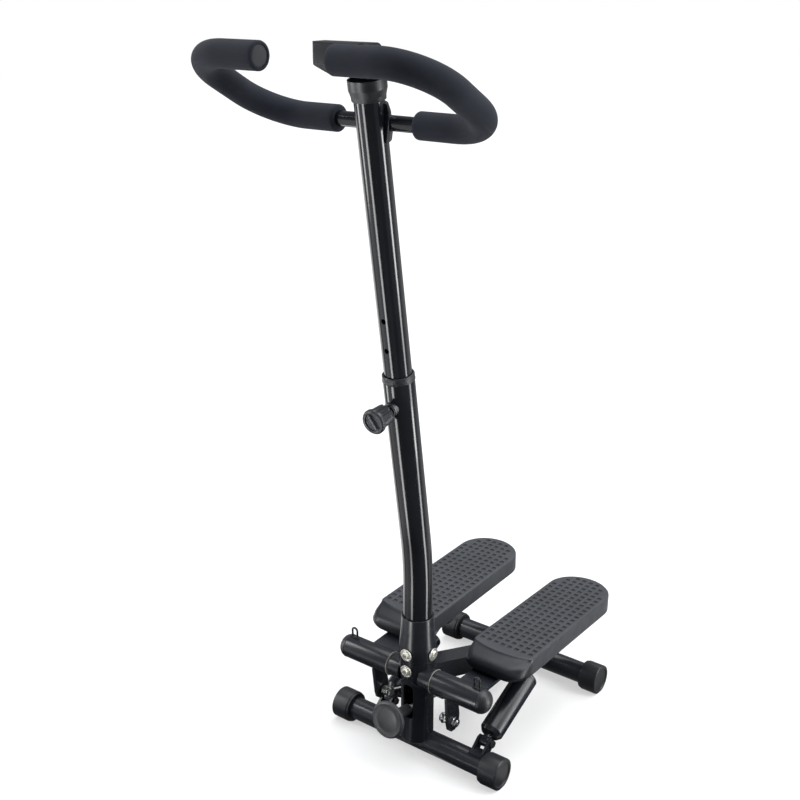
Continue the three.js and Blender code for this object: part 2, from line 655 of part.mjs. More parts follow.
// Outline of the pedal seen from above, about its centre line, inset by `inset`.
function pedalPlan(inset) {
  const half = PEDAL_W / 2 - inset;
  const [front, rear] = [PEDAL_FRONT_Y + inset, PEDAL_REAR_Y - inset];
  const frontR = 30;
  const heel = PEDAL_HEEL - inset;
  const plan = new THREE.Shape();
  plan.moveTo(-half + frontR, front);
  plan.lineTo(half - frontR, front);
  plan.absarc(half - frontR, front + frontR, frontR, -Math.PI / 2, 0, false);
  plan.lineTo(half, rear - heel);
  plan.absellipse(0, rear - heel, half, heel, 0, Math.PI, false);
  plan.lineTo(-half, front + frontR);
  plan.absarc(-half + frontR, front + frontR, frontR, Math.PI, 1.5 * Math.PI, false);
  return plan;
}

// The pedal seen from the side: a bulging nose and a flat tread.
function pedalSide() {
  const [top, front] = [PEDAL_TOP_Z, PEDAL_FRONT_Y];
  const side = new THREE.Shape();
  side.moveTo(front + 12, top - PEDAL_SIDE);
  side.bezierCurveTo(front + 3, top - 29, front, top - 26, front, top - 20);
  side.bezierCurveTo(front, top - 11, front + 10, top - 2, front + PEDAL_NOSE, top);
  side.lineTo(PEDAL_REAR_Y + 5, top);
  side.lineTo(PEDAL_REAR_Y + 5, top - PEDAL_SIDE);
  return side;
}

function pedal(centre) {
  const half = PEDAL_W / 2;
  const wall = 4;
  const outer = slabX(pedalSide(), -half - 1, half + 1).intersect(slabZ(pedalPlan(0), 100, 200));
  const underTread = slabZ(pedalPlan(wall), 100, PEDAL_TOP_Z - wall).intersect(
    block(-half, half, PEDAL_FRONT_Y + PEDAL_NOSE, PEDAL_REAR_Y, 90, 200));
  const hollow = join(underTread, slabZ(pedalPlan(2 * wall), 100, PEDAL_TOP_Z - 13));
  const armRoom = ARM_W / 2 + 1;
  const ribs = [-26, 26].map((x) => block(x - 2, x + 2, 108, 300, 165.8, PEDAL_TOP_Z - 1));
  return join(
    cut(outer, hollow, block(-armRoom, armRoom, PEDAL_FRONT_Y - 5, 150, 100, 165.8)),
    ...ribs).translate([centre, 0, 0]);
}

// Plate under the sleeve that pulls on the cable.
function lever(sign) {
  const [x0, x1] = [sign * LEVER_X - 3, sign * LEVER_X + 3];
  const outline = polygon([
    [-28, 146], [-22, 92], [-19, 82], [-12, 76], [-2, 75], [6, 80], [9, 89], [10, 100], [2, 146],
  ]);
  return cut(
    slabX(outline, x0, x1),
    bar([x0 - 5, PIVOT_Y, PIVOT_Z], [x1 + 5, PIVOT_Y, PIVOT_Z], SLEEVE_R + GAP, 32),
    bar([x0 - 5, CABLE_BOLT.y, MECH_Z], [x1 + 5, CABLE_BOLT.y, MECH_Z], 4.2, 16));
}

// Bolt and nut through the lever and the cable's eye, with the head towards the middle.
function cableBolt(sign) {
  const span = (from, to, r, sides) => bar(
    [sign * from, CABLE_BOLT.y, MECH_Z], [sign * to, CABLE_BOLT.y, MECH_Z], r, sides);
  const outside = LEVER_X + 3 + GAP;
  return join(
    span(56, 86, 4, 16),
    hexX(13, sign * 52, sign * 57, CABLE_BOLT.y, MECH_Z),
    span(56.5, 59, 9, 20),
    span(outside, outside + 1.5, 9, 20),
    hexX(13, sign * (outside + 1), sign * (outside + 6), CABLE_BOLT.y, MECH_Z));
}

// Pressed eye on the cable's end, with a short ferrule towards the pulley.
function cableEye(sign) {
  const across = (from, to, r, sides) => bar(
    [sign * from, CABLE_BOLT.y, MECH_Z], [sign * to, CABLE_BOLT.y, MECH_Z], r, sides);
  const ferrule = bar(cableRun(sign, 4).toArray(), cableRun(sign, 15).toArray(), 3.2, 12);
  return cut(
    join(across(CABLE_BOLT.x - 4, CABLE_BOLT.x + 4, 8, 20), ferrule),
    across(50, 90, 4.4, 16));
}

for (const side of SIDES) {
  const { name, sign } = side;
  const group = rockingGroup(side);
  const centre = sign * PEDAL_X;
  const cylinderX = centre + CYLINDER_SHIFT;
  addPart(group, `${name}_pivot_sleeve`, sleeve(sign), blackPaint);
  addPart(group, `${name}_inner_bush`, innerBush(sign), nylon);
  addPart(group, `${name}_outer_bush`, outerBush(sign), blackPlastic);
  addPart(group, `${name}_band_eyelet`, bandEyelet(sign), zinc);
  addPart(group, `${name}_pedal_arm`, pedalArm(centre, cylinderX), blackPaint);
  addPart(group, `${name}_pedal`, pedal(centre), greyPlastic);
  addPart(group, `${name}_cable_lever`, lever(sign), blackPaint);
  addPart(group, `${name}_cable_bolt`, cableBolt(sign), chrome);
  addPart(group, `${name}_cable_eye`, cableEye(sign), zinc);
  addPart(group, `${name}_link_pin`, bar(
    [cylinderX - 13, CYLINDER_HEAD.y, CYLINDER_HEAD.z],
    [cylinderX + 13, CYLINDER_HEAD.y, CYLINDER_HEAD.z], LINK_PIN_R, 16), zinc);
}
addPart(stepper, 'pivot_axle', bar(
  [-AXLE_HALF, PIVOT_Y, PIVOT_Z], [AXLE_HALF, PIVOT_Y, PIVOT_Z], AXLE_R, 24), zinc);

// ---------------------------------------------------------------- hydraulic cylinders
// Where the top pivot of one cylinder is when its pedal stands at the rest angle.
function cylinderHead(sign) {
  const angle = rad(-sign * REST_ROCK);
  const [y, z] = [CYLINDER_HEAD.y - PIVOT_Y, CYLINDER_HEAD.z - PIVOT_Z];
  return {
    y: PIVOT_Y + y * Math.cos(angle) - z * Math.sin(angle),
    z: PIVOT_Z + y * Math.sin(angle) + z * Math.cos(angle),
  };
}

const EYE_ROOM = 3.2;           // slack of the rod's eye round its pin, where the linkage is open

function cylinderParts(side) {
  const x = side.sign * PEDAL_X + CYLINDER_SHIFT;
  const head = cylinderHead(side.sign);
  const [dy, dz] = [head.y - CYLINDER_FOOT.y, head.z - CYLINDER_FOOT.z];
  const length = Math.hypot(dy, dz);
  const axis = [0, dy / length, dz / length];
  const foot = [x, CYLINDER_FOOT.y, CYLINDER_FOOT.z];
  const pinBar = (y, z, r, reach, sides = 16) => bar([x - reach, y, z], [x + reach, y, z], r, sides);
  const shell = cut(
    join(
      turnedAlong([
        [0, CYLINDER_START], [CYLINDER_R - 4, CYLINDER_START], [CYLINDER_R, CYLINDER_START + 5],
        [CYLINDER_R, CYLINDER_END - 3], [CYLINDER_R - 3, CYLINDER_END], [0, CYLINDER_END],
      ], foot, axis, 24),
      turnedAlong([[0, 0], [6, 0], [6, 20], [0, 20]], foot, axis, 12),
      pinBar(foot[1], foot[2], 9, 7, 20)),
    pinBar(foot[1], foot[2], LINK_PIN_R + 0.1, 12),
    turnedAlong([
      [0, 30], [ROD_R + 4, 30], [ROD_R + 4, CYLINDER_END - 14], [ROD_R + 0.2, CYLINDER_END - 14],
      [ROD_R + 0.2, CYLINDER_END + 9], [0, CYLINDER_END + 9],
    ], foot, axis, 20));
  const rod = cut(
    join(
      turnedAlong([
        [0, 84], [ROD_R + 3, 84], [ROD_R + 3, 90], [ROD_R, 90], [ROD_R, length - 5],
        [0, length - 5],
      ], foot, axis, 20),
      pinBar(head.y, head.z, 11.5, 6, 20)),
    pinBar(head.y, head.z, LINK_PIN_R + EYE_ROOM, 12, 20));
  return { x, shell, rod };
}

// U-shaped foot welded on the stabilizer, which carries a cylinder's lower pin.
function cylinderFoot(x) {
  const ear = (x0) => slabX(polygon([
    [-10, AXIS_Z + 12], [4, AXIS_Z + 26], [CYLINDER_FOOT.y - 6, CYLINDER_FOOT.z + 8],
    [CYLINDER_FOOT.y + 2, CYLINDER_FOOT.z + 9], [CYLINDER_FOOT.y + 9, CYLINDER_FOOT.z + 1],
    [CYLINDER_FOOT.y + 6, CYLINDER_FOOT.z - 8], [15, AXIS_Z + 8],
  ]), x0, x0 + 4);
  return cut(
    join(ear(x - 12), ear(x + 8), block(x - 12, x + 12, -8, 12, AXIS_Z + 12, AXIS_Z + 22)),
    bar([x - 30, 0, AXIS_Z], [x + 30, 0, AXIS_Z], TUBE_R + GAP, 40),
    bar([x - 20, CYLINDER_FOOT.y, CYLINDER_FOOT.z], [x + 20, CYLINDER_FOOT.y, CYLINDER_FOOT.z],
      LINK_PIN_R + 0.1, 16));
}

function footPin(x) {
  return join(
    bar([x - 15, CYLINDER_FOOT.y, CYLINDER_FOOT.z], [x + 13, CYLINDER_FOOT.y, CYLINDER_FOOT.z],
      LINK_PIN_R, 16),
    hexX(11, x + 12 + GAP, x + 17, CYLINDER_FOOT.y, CYLINDER_FOOT.z));
}

for (const side of SIDES) {
  const { x, shell, rod } = cylinderParts(side);
  addPart(stepper, `${side.name}_cylinder`, shell, blackPaint);
  addPart(stepper, `${side.name}_cylinder_rod`, rod, chrome);
  addPart(stepper, `${side.name}_cylinder_foot`, cylinderFoot(x), blackPaint);
  addPart(stepper, `${side.name}_foot_pin`, footPin(x), zinc);
}

// ---------------------------------------------------------------- cable, pulley and adjuster
function pulley() {
  return turnedAlong([
    [4.3, -6], [PULLEY_R, -6], [PULLEY_R, -4], [grooveR - 1, -2.4], [grooveR - 1, 2.4],
    [PULLEY_R, 4], [PULLEY_R, 6], [4.3, 6], [4.3, -6],
  ], onSlope(0, pulleyBack).toArray(), slopeUp.toArray(), 24);
}

function pulleyPin() {
  const profile = [[0, -13], [7, -13], [7, -9.2], [4, -9.2], [4, 11], [0, 11]];
  return turnedAlong(profile, onSlope(0, pulleyBack).toArray(), slopeUp.toArray(), 16);
}

// Bent strap that holds the pulley's pin above and below, pulled by the adjusting screw.
function pulleyYoke() {
  const [front, rear] = [pulleyBack - PULLEY_R - 10, pulleyBack + 10];
  const plate = (up0, up1, back0, half) => block(-half, half, back0, rear, up0, up1);
  const body = join(
    plate(6.6, 9, front, 11), plate(-9, -6.6, front, 11),
    block(-11, 11, front, front + 4, -9, 9));
  const tilted = body.rotate([-MECH_TILT, 0, 0]).translate(onSlope(0, 0).toArray());
  const pinHole = bar(onSlope(0, pulleyBack, -20).toArray(),
    onSlope(0, pulleyBack, 20).toArray(), 4.1, 16);
  const screwHole = bar(onSlope(0, front - 20).toArray(),
    onSlope(0, front + 20).toArray(), 5.3, 16);
  return cut(tilted, pinHole, screwHole);
}

// Round knob in front of the upright, in one piece with its screw and the hub behind it.
function adjusterKnob() {
  const face = (CABLE_BOLT.y - ADJUSTER_Y) / Math.cos(rad(MECH_TILT));
  const screwEnd = -(pulleyBack - PULLEY_R - 4.5);
  return turnedAlong([
    [0, screwEnd], [5, screwEnd], [5, 26], [9, 26], [11, face - 16], [ADJUSTER_R - 4, face - 12],
    [ADJUSTER_R, face - 8], [ADJUSTER_R, face - 3], [ADJUSTER_R - 3, face], [18, face - 2.5],
    [10, face], [0, face + 1.5],
  ], onSlope(0, 0).toArray(), slopeBack.clone().negate().toArray(), 28);
}

// Steel cable round the back of the pulley. Its ends stop short of the ferrules, which swing.
function pedalCable() {
  const arc = arcStations((angle) => onSlope(
    wrapR * Math.cos(angle), pulleyBack + wrapR * Math.sin(angle)),
  Math.PI - cableLean, cableLean, 8);
  return swept([cableRun(-1, CABLE_FREE), ...arc, cableRun(1, CABLE_FREE)], CABLE_R, 8);
}

addPart(stepper, 'cable_pulley', pulley(), nylon);
addPart(stepper, 'pulley_pin', pulleyPin(), zinc);
addPart(stepper, 'pulley_yoke', pulleyYoke(), zinc);
addPart(stepper, 'adjuster_knob', adjusterKnob(), blackPlastic);
addPart(stepper, 'pedal_cable', pedalCable(), zinc);

export default stepper;
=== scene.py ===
"""Looks of the upright stepper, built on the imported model: smooth tubes, studded pedals, foam
grips, hydraulic cylinders and their hardware, each with a procedural material."""

import math

import bmesh
import bpy
from mathutils import Matrix, Vector


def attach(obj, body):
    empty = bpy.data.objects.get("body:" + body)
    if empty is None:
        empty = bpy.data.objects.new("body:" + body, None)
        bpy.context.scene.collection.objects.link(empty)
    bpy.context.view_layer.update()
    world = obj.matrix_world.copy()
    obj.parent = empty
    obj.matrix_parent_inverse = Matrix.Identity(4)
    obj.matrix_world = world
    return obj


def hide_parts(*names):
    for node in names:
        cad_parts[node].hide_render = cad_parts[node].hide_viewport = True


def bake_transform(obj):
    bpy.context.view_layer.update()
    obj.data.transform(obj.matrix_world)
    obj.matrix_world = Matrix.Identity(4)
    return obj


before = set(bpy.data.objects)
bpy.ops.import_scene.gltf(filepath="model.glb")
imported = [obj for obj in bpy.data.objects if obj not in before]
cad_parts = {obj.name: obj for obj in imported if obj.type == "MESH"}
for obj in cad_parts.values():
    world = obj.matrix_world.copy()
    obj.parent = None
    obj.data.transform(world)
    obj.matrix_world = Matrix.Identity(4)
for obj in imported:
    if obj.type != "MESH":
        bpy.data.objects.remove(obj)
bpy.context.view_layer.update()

# ---- dimensions, in millimetres
# The same names and values as in the part's source. y runs from the front stabilizer's axis.
ORIGIN_Y = 68.2
TUBE_R = 19
BASE_W = 339
BASE_D = 336
CAP_R = 27
CAP_LEN = 34
AXIS_Z = 24.9
UPRIGHT_R = 27.5
UPRIGHT_BULGE_R = 31
UPRIGHT_TOP_Z = 264
UPRIGHT_Y = -3
PIVOT_Y = -13.6
PIVOT_Z = 158.6
PIVOT = (0, PIVOT_Y, PIVOT_Z)
AXLE_R = 10
AXLE_HALF = 130
SLEEVE_R = 20
SLEEVE_IN = 44.5
SLEEVE_OUT = 134.5
CAP_DOME = 16.5
BUSH_R = 16
PEDAL_X = 99.5
PEDAL_W = 115
PEDAL_TOP_Z = 187
PEDAL_FRONT_Y = 58
PEDAL_REAR_Y = 412.5
PEDAL_HEEL = 55
PEDAL_WALL = 4
REST_ROCK = 1.4
ARM_W = 70
CYLINDER_SHIFT = 20
CYLINDER_FOOT = (24, 54)
CYLINDER_HEAD = (190, 133)
CYLINDER_R = 18.5
CYLINDER_START = 14
CYLINDER_END = 134
ROD_R = 5
LINK_PIN_R = 4
EYE_ROOM = 3.2
MECH_TILT = 10
MECH_Z = 92
CABLE_BOLT_X = 66
CABLE_BOLT_Y = -6
LEVER_X = 75
PULLEY_Y = 95
PULLEY_R = 28
CABLE_R = 2
ADJUSTER_Y = -88
ADJUSTER_R = 31
LOWER_POST_R = 23.9
UPPER_POST_R = 20.85
POST_LEAN = math.radians(9)
BEND_Z = 360
BEND_R = 600
LOWER_POST_FOOT_Z = 186
LOWER_POST_TOP_Z = 683
PIN_Z = 645
HOLE_PITCH = 46.5
BEAM_W = 40
UPPER_POST_TOP_Z = 1104
BAR_R = 10.5
GRIP_R = 18.6
BAR_START = (-98.6, 1058)
BAR_END = (-258.3, 1148.4)
BAR_TIP_X = 62.5
BAR_STRAIGHT_X = 124
BAR_BEND_R = 70
GRIP_START_X = 67
CONSOLE_W = 84
SIDES = (("left", -1), ("right", 1))

X = Vector((1, 0, 0))
Y = Vector((0, 1, 0))
Z = Vector((0, 0, 1))


# ---- camera, floor and light
def new_object(name, data):
    item = bpy.data.objects.new(name, data)
    bpy.context.scene.collection.objects.link(item)
    return item


FOCAL_PIXELS = 1158
IMAGE_PIXELS = 800


def make_camera():
    data = bpy.data.cameras.new("camera")
    data.sensor_width = 36
    data.lens = FOCAL_PIXELS / IMAGE_PIXELS * data.sensor_width
    data.clip_end = 30
    camera = new_object("camera", data)
    camera.location = (0.9707, -1.3344 - ORIGIN_Y / 1000, 1.246)
    camera.rotation_euler = (math.radians(69.67), 0, math.radians(37.107))
    bpy.context.scene.camera = camera


def wire(tree, node, inputs):
    """Gives each named input its value, or links the output that feeds it."""
    for name, value in inputs.items():
        if isinstance(value, bpy.types.NodeSocket):
            tree.links.new(value, node.inputs[name])
        else:
            node.inputs[name].default_value = value


def add_node(tree, kind, output, inputs=(), **settings):
    """A new shader node with its settings and inputs. Returns the output that is asked for."""
    node = tree.nodes.new("ShaderNode" + kind)
    for name, value in settings.items():
        setattr(node, name, value)
    wire(tree, node, dict(inputs))
    return node.outputs[output]


# Bright bands that the gloss of the object finds in the floor: the direction of each from the
# post, half its width in degrees, and its brightness.
FLOOR_BANDS = [((-0.20, -0.99), 7, 11), ((-0.73, -0.68), 24, 0.9), ((-0.954, 0.266), 20, 1.6),
               ((0.924, 0.366), 6, 10), ((0.35, 0.94), 25, 0.5)]
BETWEEN_BANDS = 0.16            # brightness between the bands
POST_FOOT = (0, -0.1, 0)
BANDS_FROM = (0.30, 0.62)       # metres from the post over which the bands fade in


def floor_bands(tree):
    """An emission that is bright along the bands and dim between them."""
    place = add_node(tree, "TexCoord", "Object")
    away = add_node(tree, "VectorMath", "Vector", {0: place, 1: POST_FOOT}, operation="SUBTRACT")
    unit = add_node(tree, "VectorMath", "Vector", {0: away}, operation="NORMALIZE")
    total = BETWEEN_BANDS
    for direction, half_width, strength in FLOOR_BANDS:
        toward = Vector((*direction, 0)).normalized()
        along = add_node(tree, "VectorMath", "Value", {0: unit, 1: toward},
                         operation="DOT_PRODUCT")
        band = add_node(tree, "MapRange", "Result", {
            "Value": along, "From Min": math.cos(math.radians(half_width * 1.3)),
            "From Max": math.cos(math.radians(half_width * 0.6)), "To Max": strength},
            interpolation_type="SMOOTHSTEP")
        total = add_node(tree, "Math", "Value", {0: band, 1: total})
    reach = add_node(tree, "VectorMath", "Value", {0: away}, operation="LENGTH")
    fade = add_node(tree, "MapRange", "Result", {
        "Value": reach, "From Min": BANDS_FROM[0], "From Max": BANDS_FROM[1], "To Min": 0.06})
    faded = add_node(tree, "Math", "Value", {0: total, 1: fade}, operation="MULTIPLY")
    return add_node(tree, "Emission", "Emission", {"Strength": faded})


def make_floor():
    """A pale floor for the camera, a dim one for the light it throws back, bands for the gloss."""
    size = 12
    mesh = bpy.data.meshes.new("floor")
    corners = [(-size, -size, 0), (size, -size, 0), (size, size, 0), (-size, size, 0)]
    mesh.from_pydata(corners, [], [(0, 1, 2, 3)])
    floor = new_object("floor", mesh)
    material = bpy.data.materials.new("floor")
    material.use_nodes = True
    tree = material.node_tree
    seen = tree.nodes["Principled BSDF"]
    wire(tree, seen, {"Base Color": (0.5, 0.503, 0.506, 1), "Emission Color": (1, 1, 1, 1),
                      "Emission Strength": 0.5, "Roughness": 0.9, "Specular IOR Level": 0.0})
    dim = add_node(tree, "BsdfDiffuse", "BSDF", {"Color": (0.30, 0.30, 0.31, 1)})
    ray = tree.nodes.new("ShaderNodeLightPath").outputs
    mix = add_node(tree, "MixShader", "Shader",
                   {"Fac": ray["Is Camera Ray"], 1: dim, 2: seen.outputs["BSDF"]})
    gloss = add_node(tree, "MixShader", "Shader",
                     {"Fac": ray["Is Glossy Ray"], 1: mix, 2: floor_bands(tree)})
    wire(tree, tree.nodes["Material Output"], {"Surface": gloss})
    material.cycles.emission_sampling = "NONE"
    mesh.materials.append(material)


def area_light(name, place, target, width, height, power, color=(1, 1, 1)):
    data = bpy.data.lights.new(name, "AREA")
    data.shape = "RECTANGLE"
    data.size = width
    data.size_y = height
    data.energy = power
    data.color = color
    light = new_object(name, data)
    light.location = place
    away = Vector(place) - Vector(target)
    light.rotation_euler = away.to_track_quat("Z", "Y").to_euler()


def sun_light(strength, softness, toward):
    data = bpy.data.lights.new("sun", "SUN")
    data.energy = strength
    data.angle = math.radians(softness)
    light = new_object("sun", data)
    light.rotation_euler = (-Vector(toward)).to_track_quat("Z", "Y").to_euler()


def make_world():
    """A pale surround for the camera, and a dimmer one for what lights the object."""
    world = bpy.data.worlds.new("studio")
    bpy.context.scene.world = world
    world.use_nodes = True
    tree = world.node_tree
    seen = add_node(tree, "Background", "Background", {"Color": (1, 1, 1, 1), "Strength": 1.0})
    fill = tree.nodes["Background"]
    wire(tree, fill, {"Color": (0.93, 0.96, 1, 1), "Strength": 0.27})
    ray = add_node(tree, "LightPath", "Is Camera Ray")
    mix = add_node(tree, "MixShader", "Shader",
                   {"Fac": ray, 1: fill.outputs["Background"], 2: seen})
    wire(tree, tree.nodes["World Output"], {"Surface": mix})


make_camera()
make_floor()
make_world()
area_light("left_strip", (-1.7, -1.2, 1.1), (0, 0, 0.6), 0.5, 2.2, 30)
area_light("right_strip", (1.85, 0.73, 1.1), (0, 0, 0.6), 0.5, 2.2, 28)
sun_light(3.3, 70, (-0.1, -0.3, -1))
area_light("front_fill", (0.9, -3.2, 1.4), (0, 0, 0.4), 1.6, 1.2, 3)
bpy.context.scene.view_settings.view_transform = "Standard"


def finish(name, color, roughness, metallic=0.0, grain=(900, 0.15), mottle=0.25, edge_scuff_and_highlight=0.0,
           rough_spread=0.1, coat=0.0, sheen=0.0, cells=False, specular=0.5, hollow_shade=0.0):
    """A painted, moulded or plated surface: uneven colour and gloss, and a fine relief.
    Its edges can be lightened, partly as scuffs and partly as a painted highlight, and its hollows
    darkened with painted shade."""
    material = bpy.data.materials.new(name)
    material.use_nodes = True
    tree = material.node_tree
    place = add_node(tree, "TexCoord", "Object")

    def noise(scale, detail):
        return add_node(tree, "TexNoise", "Fac",
                        {"Vector": place, "Scale": scale, "Detail": detail})

    tone = tree.nodes.new("ShaderNodeValToRGB")
    steps = ((0.3, 1 - mottle), (0.7, 1 + mottle))
    for element, (position, factor) in zip(tone.color_ramp.elements, steps):
        element.position = position
        element.color = (*(min(1, c * factor) for c in color), 1)
    wire(tree, tone, {"Fac": noise(14, 6)})
    base = tone.outputs["Color"]
    # A lighter tint for edges, part scuffs and part painted highlight, and a darker one for
    # hollows, which is painted shade.
    scuffed_and_lit_tint = tuple(min(1, c * 4 + 0.02) for c in color)
    shaded_tint = tuple(c * 0.1 for c in color)
    # Pointiness is 0.5 on a flat, more than that on an edge and less in a hollow.
    for amount, flat, full, tint in ((edge_scuff_and_highlight, 0.54, 0.62, scuffed_and_lit_tint), (hollow_shade, 0.49, 0.43, shaded_tint)):
        if amount:
            edge = add_node(tree, "MapRange", "Result", {
                "Value": add_node(tree, "NewGeometry", "Pointiness"), "From Min": flat,
                "From Max": full, "To Max": amount})
            base = add_node(tree, "Mix", "Result", {"Factor": edge, "A": base, "B": (*tint, 1)},
                            data_type="RGBA")

    gloss = add_node(tree, "MapRange", "Result", {
        "Value": noise(45, 4), "From Min": 0.25, "From Max": 0.75,
        "To Min": max(0.02, roughness - rough_spread), "To Max": min(1, roughness + rough_spread)})
    scale, strength = grain
    if cells:
        relief = add_node(tree, "TexVoronoi", "Distance", {"Vector": place, "Scale": scale})
    else:
        relief = noise(scale, 3)
    bump = add_node(tree, "Bump", "Normal",
                    {"Strength": strength, "Distance": 0.0004, "Height": relief})
    wire(tree, tree.nodes["Principled BSDF"], {
        "Base Color": base, "Metallic": metallic, "Roughness": gloss, "Normal": bump,
        "Specular IOR Level": specular, "Coat Weight": coat, "Coat Roughness": 0.06,
        "Sheen Weight": sheen, "Sheen Roughness": 0.6})
    return material


BLACK_PAINT = finish("black_paint", (0.009, 0.0105, 0.014), 0.13, grain=(260, 0.03),
                     edge_scuff_and_highlight=0.25, rough_spread=0.03, specular=0.45)
FRAME_PAINT = finish("frame_paint", (0.0132, 0.0150, 0.0195), 0.25,
                     grain=(120, 0.012), edge_scuff_and_highlight=0.25, rough_spread=0.03, specular=0.45)
BLACK_PLASTIC = finish("black_plastic", (0.015, 0.0162, 0.0195), 0.42,
                       grain=(1800, 0.12), edge_scuff_and_highlight=0.15)
# The pedal plastic: painted shade darkens the pits, and its edges get scuffs and a painted
# highlight.
PEDAL_PLASTIC = finish("pedal_plastic", (0.034, 0.037, 0.044), 0.45,
                       grain=(2200, 0.25), mottle=0.12, edge_scuff_and_highlight=0.25, hollow_shade=0.85)
# The nose's finish: smoother than the tread, and darker as painted shade on the nose.
SHADED_NOSE_PLASTIC = finish("shaded_nose_plastic", (0.0125, 0.0138, 0.0175), 0.38,
                      grain=(2200, 0.1), mottle=0.1, edge_scuff_and_highlight=0.3, specular=0.35)
CASE_PLASTIC = finish("case_plastic", (0.0095, 0.0108, 0.0142), 0.5,
                      grain=(1800, 0.1), edge_scuff_and_highlight=0.2, specular=0.25)
FOAM = finish("foam", (0.0205, 0.0235, 0.0335), 0.92, grain=(1400, 0.55), mottle=0.12,
              rough_spread=0.04, sheen=0.06, cells=True, specular=0.15)
CHROME = finish("chrome", (0.72, 0.73, 0.74), 0.12, metallic=1, grain=(120, 0.02),
                mottle=0.05, rough_spread=0.05)
ZINC = finish("zinc", (0.56, 0.565, 0.55), 0.32, metallic=1, grain=(700, 0.08),
              mottle=0.12)
CREAM_BUSH = finish("cream_bush", (0.36, 0.35, 0.31), 0.35, grain=(500, 0.05),
                    mottle=0.12)
NYLON = finish("nylon", (0.62, 0.62, 0.59), 0.45, grain=(600, 0.06), mottle=0.06)
DARK_WIRE = finish("dark_wire", (0.030, 0.031, 0.034), 0.3, metallic=0.6,
                   grain=(700, 0.06))
CABLE_WIRE = finish("cable_wire", (0.42, 0.425, 0.42), 0.36, metallic=1, grain=(900, 0.12))
STEEL = finish("oiled_steel", (0.10, 0.10, 0.105), 0.34, metallic=1, grain=(800, 0.1))
SCREEN = finish("screen", (0.016, 0.019, 0.021), 0.07, grain=(80, 0.01),
                rough_spread=0.03, coat=0.6)
PLUG_RUBBER = finish("plug_rubber", (0.011, 0.0125, 0.017), 0.55,
                     grain=(900, 0.1))
DISC_GREY = finish("disc_grey", (0.034, 0.036, 0.040), 0.42, grain=(900, 0.04),
                   edge_scuff_and_highlight=0.25)
# The knob: painted shade darkens the flutes, and its rims get scuffs and a painted highlight.
KNOB_BLACK = finish("knob_black", (0.034, 0.036, 0.042), 0.26, grain=(900, 0.04),
                    edge_scuff_and_highlight=0.5, hollow_shade=0.6)
BAR_GREY = finish("bar_grey", (0.13, 0.135, 0.15), 0.36, grain=(900, 0.05),
                  edge_scuff_and_highlight=0.3)
PLATED = finish("plated", (0.78, 0.77, 0.70), 0.3, metallic=0.75, grain=(400, 0.05),
                mottle=0.08)


# ---- shapes, in millimetres
class Shape:
    """Corner points and faces of one or more closed surfaces."""

    def __init__(self, points=(), faces=()):
        self.points = list(points)
        self.faces = list(faces)

    def __add__(self, other):
        start = len(self.points)
        moved = [tuple(i + start for i in face) for face in other.faces]
        return Shape(self.points + other.points, self.faces + moved)

    def moved(self, matrix):
        return Shape([matrix @ p for p in self.points], self.faces)


def loft(rings, capped=True):
    """Quads between rings of equally many points, with the first and last ring filled."""
    count = len(rings[0])
    points = [Vector(p) for ring in rings for p in ring]
    faces = []
    for row in range(len(rings) - 1):
        for i in range(count):
            j = (i + 1) % count
            a, b = row * count, (row + 1) * count
            faces.append((a + i, a + j, b + j, b + i))
    if capped:
        faces.append(tuple(reversed(range(count))))
        faces.append(tuple(range(len(points) - count, len(points))))
    return Shape(points, faces)


def axis_frame(axis):
    along = Vector(axis).normalized()
    hint = Z if abs(along.z) < 0.9 else X
    side = hint.cross(along).normalized()
    return side, along.cross(side), along


def rounded(outline, radius, pieces=5, closed=False):
    """A 2-D outline with its corners rounded. radius is one number, or one for each corner."""
    count = len(outline)
    radii = radius if isinstance(radius, (list, tuple)) else [radius] * count
    result = []
    for i, corner in enumerate(outline):
        here = Vector(corner)
        if not radii[i] or (not closed and i in (0, count - 1)):
            result.append(here)
            continue
        before = Vector(outline[i - 1]) - here
        after = Vector(outline[(i + 1) % count]) - here
        angle = before.angle(after)
        if angle > math.pi - 0.01:
            result.append(here)
            continue
        reach = radii[i] / math.tan(angle / 2)
        reach = min(reach, before.length * 0.48, after.length * 0.48)
        start = here + before.normalized() * reach
        end = here + after.normalized() * reach
        for k in range(pieces + 1):
            t = k / pieces
            result.append(start * (1 - t) ** 2 + here * 2 * t * (1 - t) + end * t ** 2)
    return result


def rectangle(x0, x1, y0, y1, radius=0, pieces=5):
    """A 2-D rectangle with round corners."""
    return rounded([(x0, y0), (x1, y0), (x1, y1), (x0, y1)], radius, pieces, closed=True)


def circle(sides):
    """The angles of evenly spaced points round a circle."""
    return [2 * math.pi * k / sides for k in range(sides)]


def turned(profile, origin, axis, sides=72, radius_at=None):
    """A profile of (radius, height) turned about an axis through `origin`.
    radius_at(angle, radius, height) can change a radius on the way round."""
    side, up, along = axis_frame(axis)
    base = Vector(origin)
    rings = []
    for angle in circle(sides):
        out = side * math.cos(angle) + up * math.sin(angle)
        rings.append([base + out * (radius_at(angle, r, h) if radius_at else r) + along * h
                      for r, h in profile])
    rings.append(rings[0])
    return loft(rings, capped=False)


def closed_turn(outline, radii, origin, axis, sides=96, pieces=5):
    """A turned ring whose outline closes on itself."""
    line = rounded(outline, radii, pieces)
    return turned(line + line[:1], origin, axis, sides)


def flat_ring(bore, radius, low, high, radii, origin, axis, sides=64, pieces=4):
    """A turned ring of rectangular section."""
    return closed_turn([(bore, low), (radius, low), (radius, high), (bore, high)], radii, origin,
                       axis, sides, pieces)


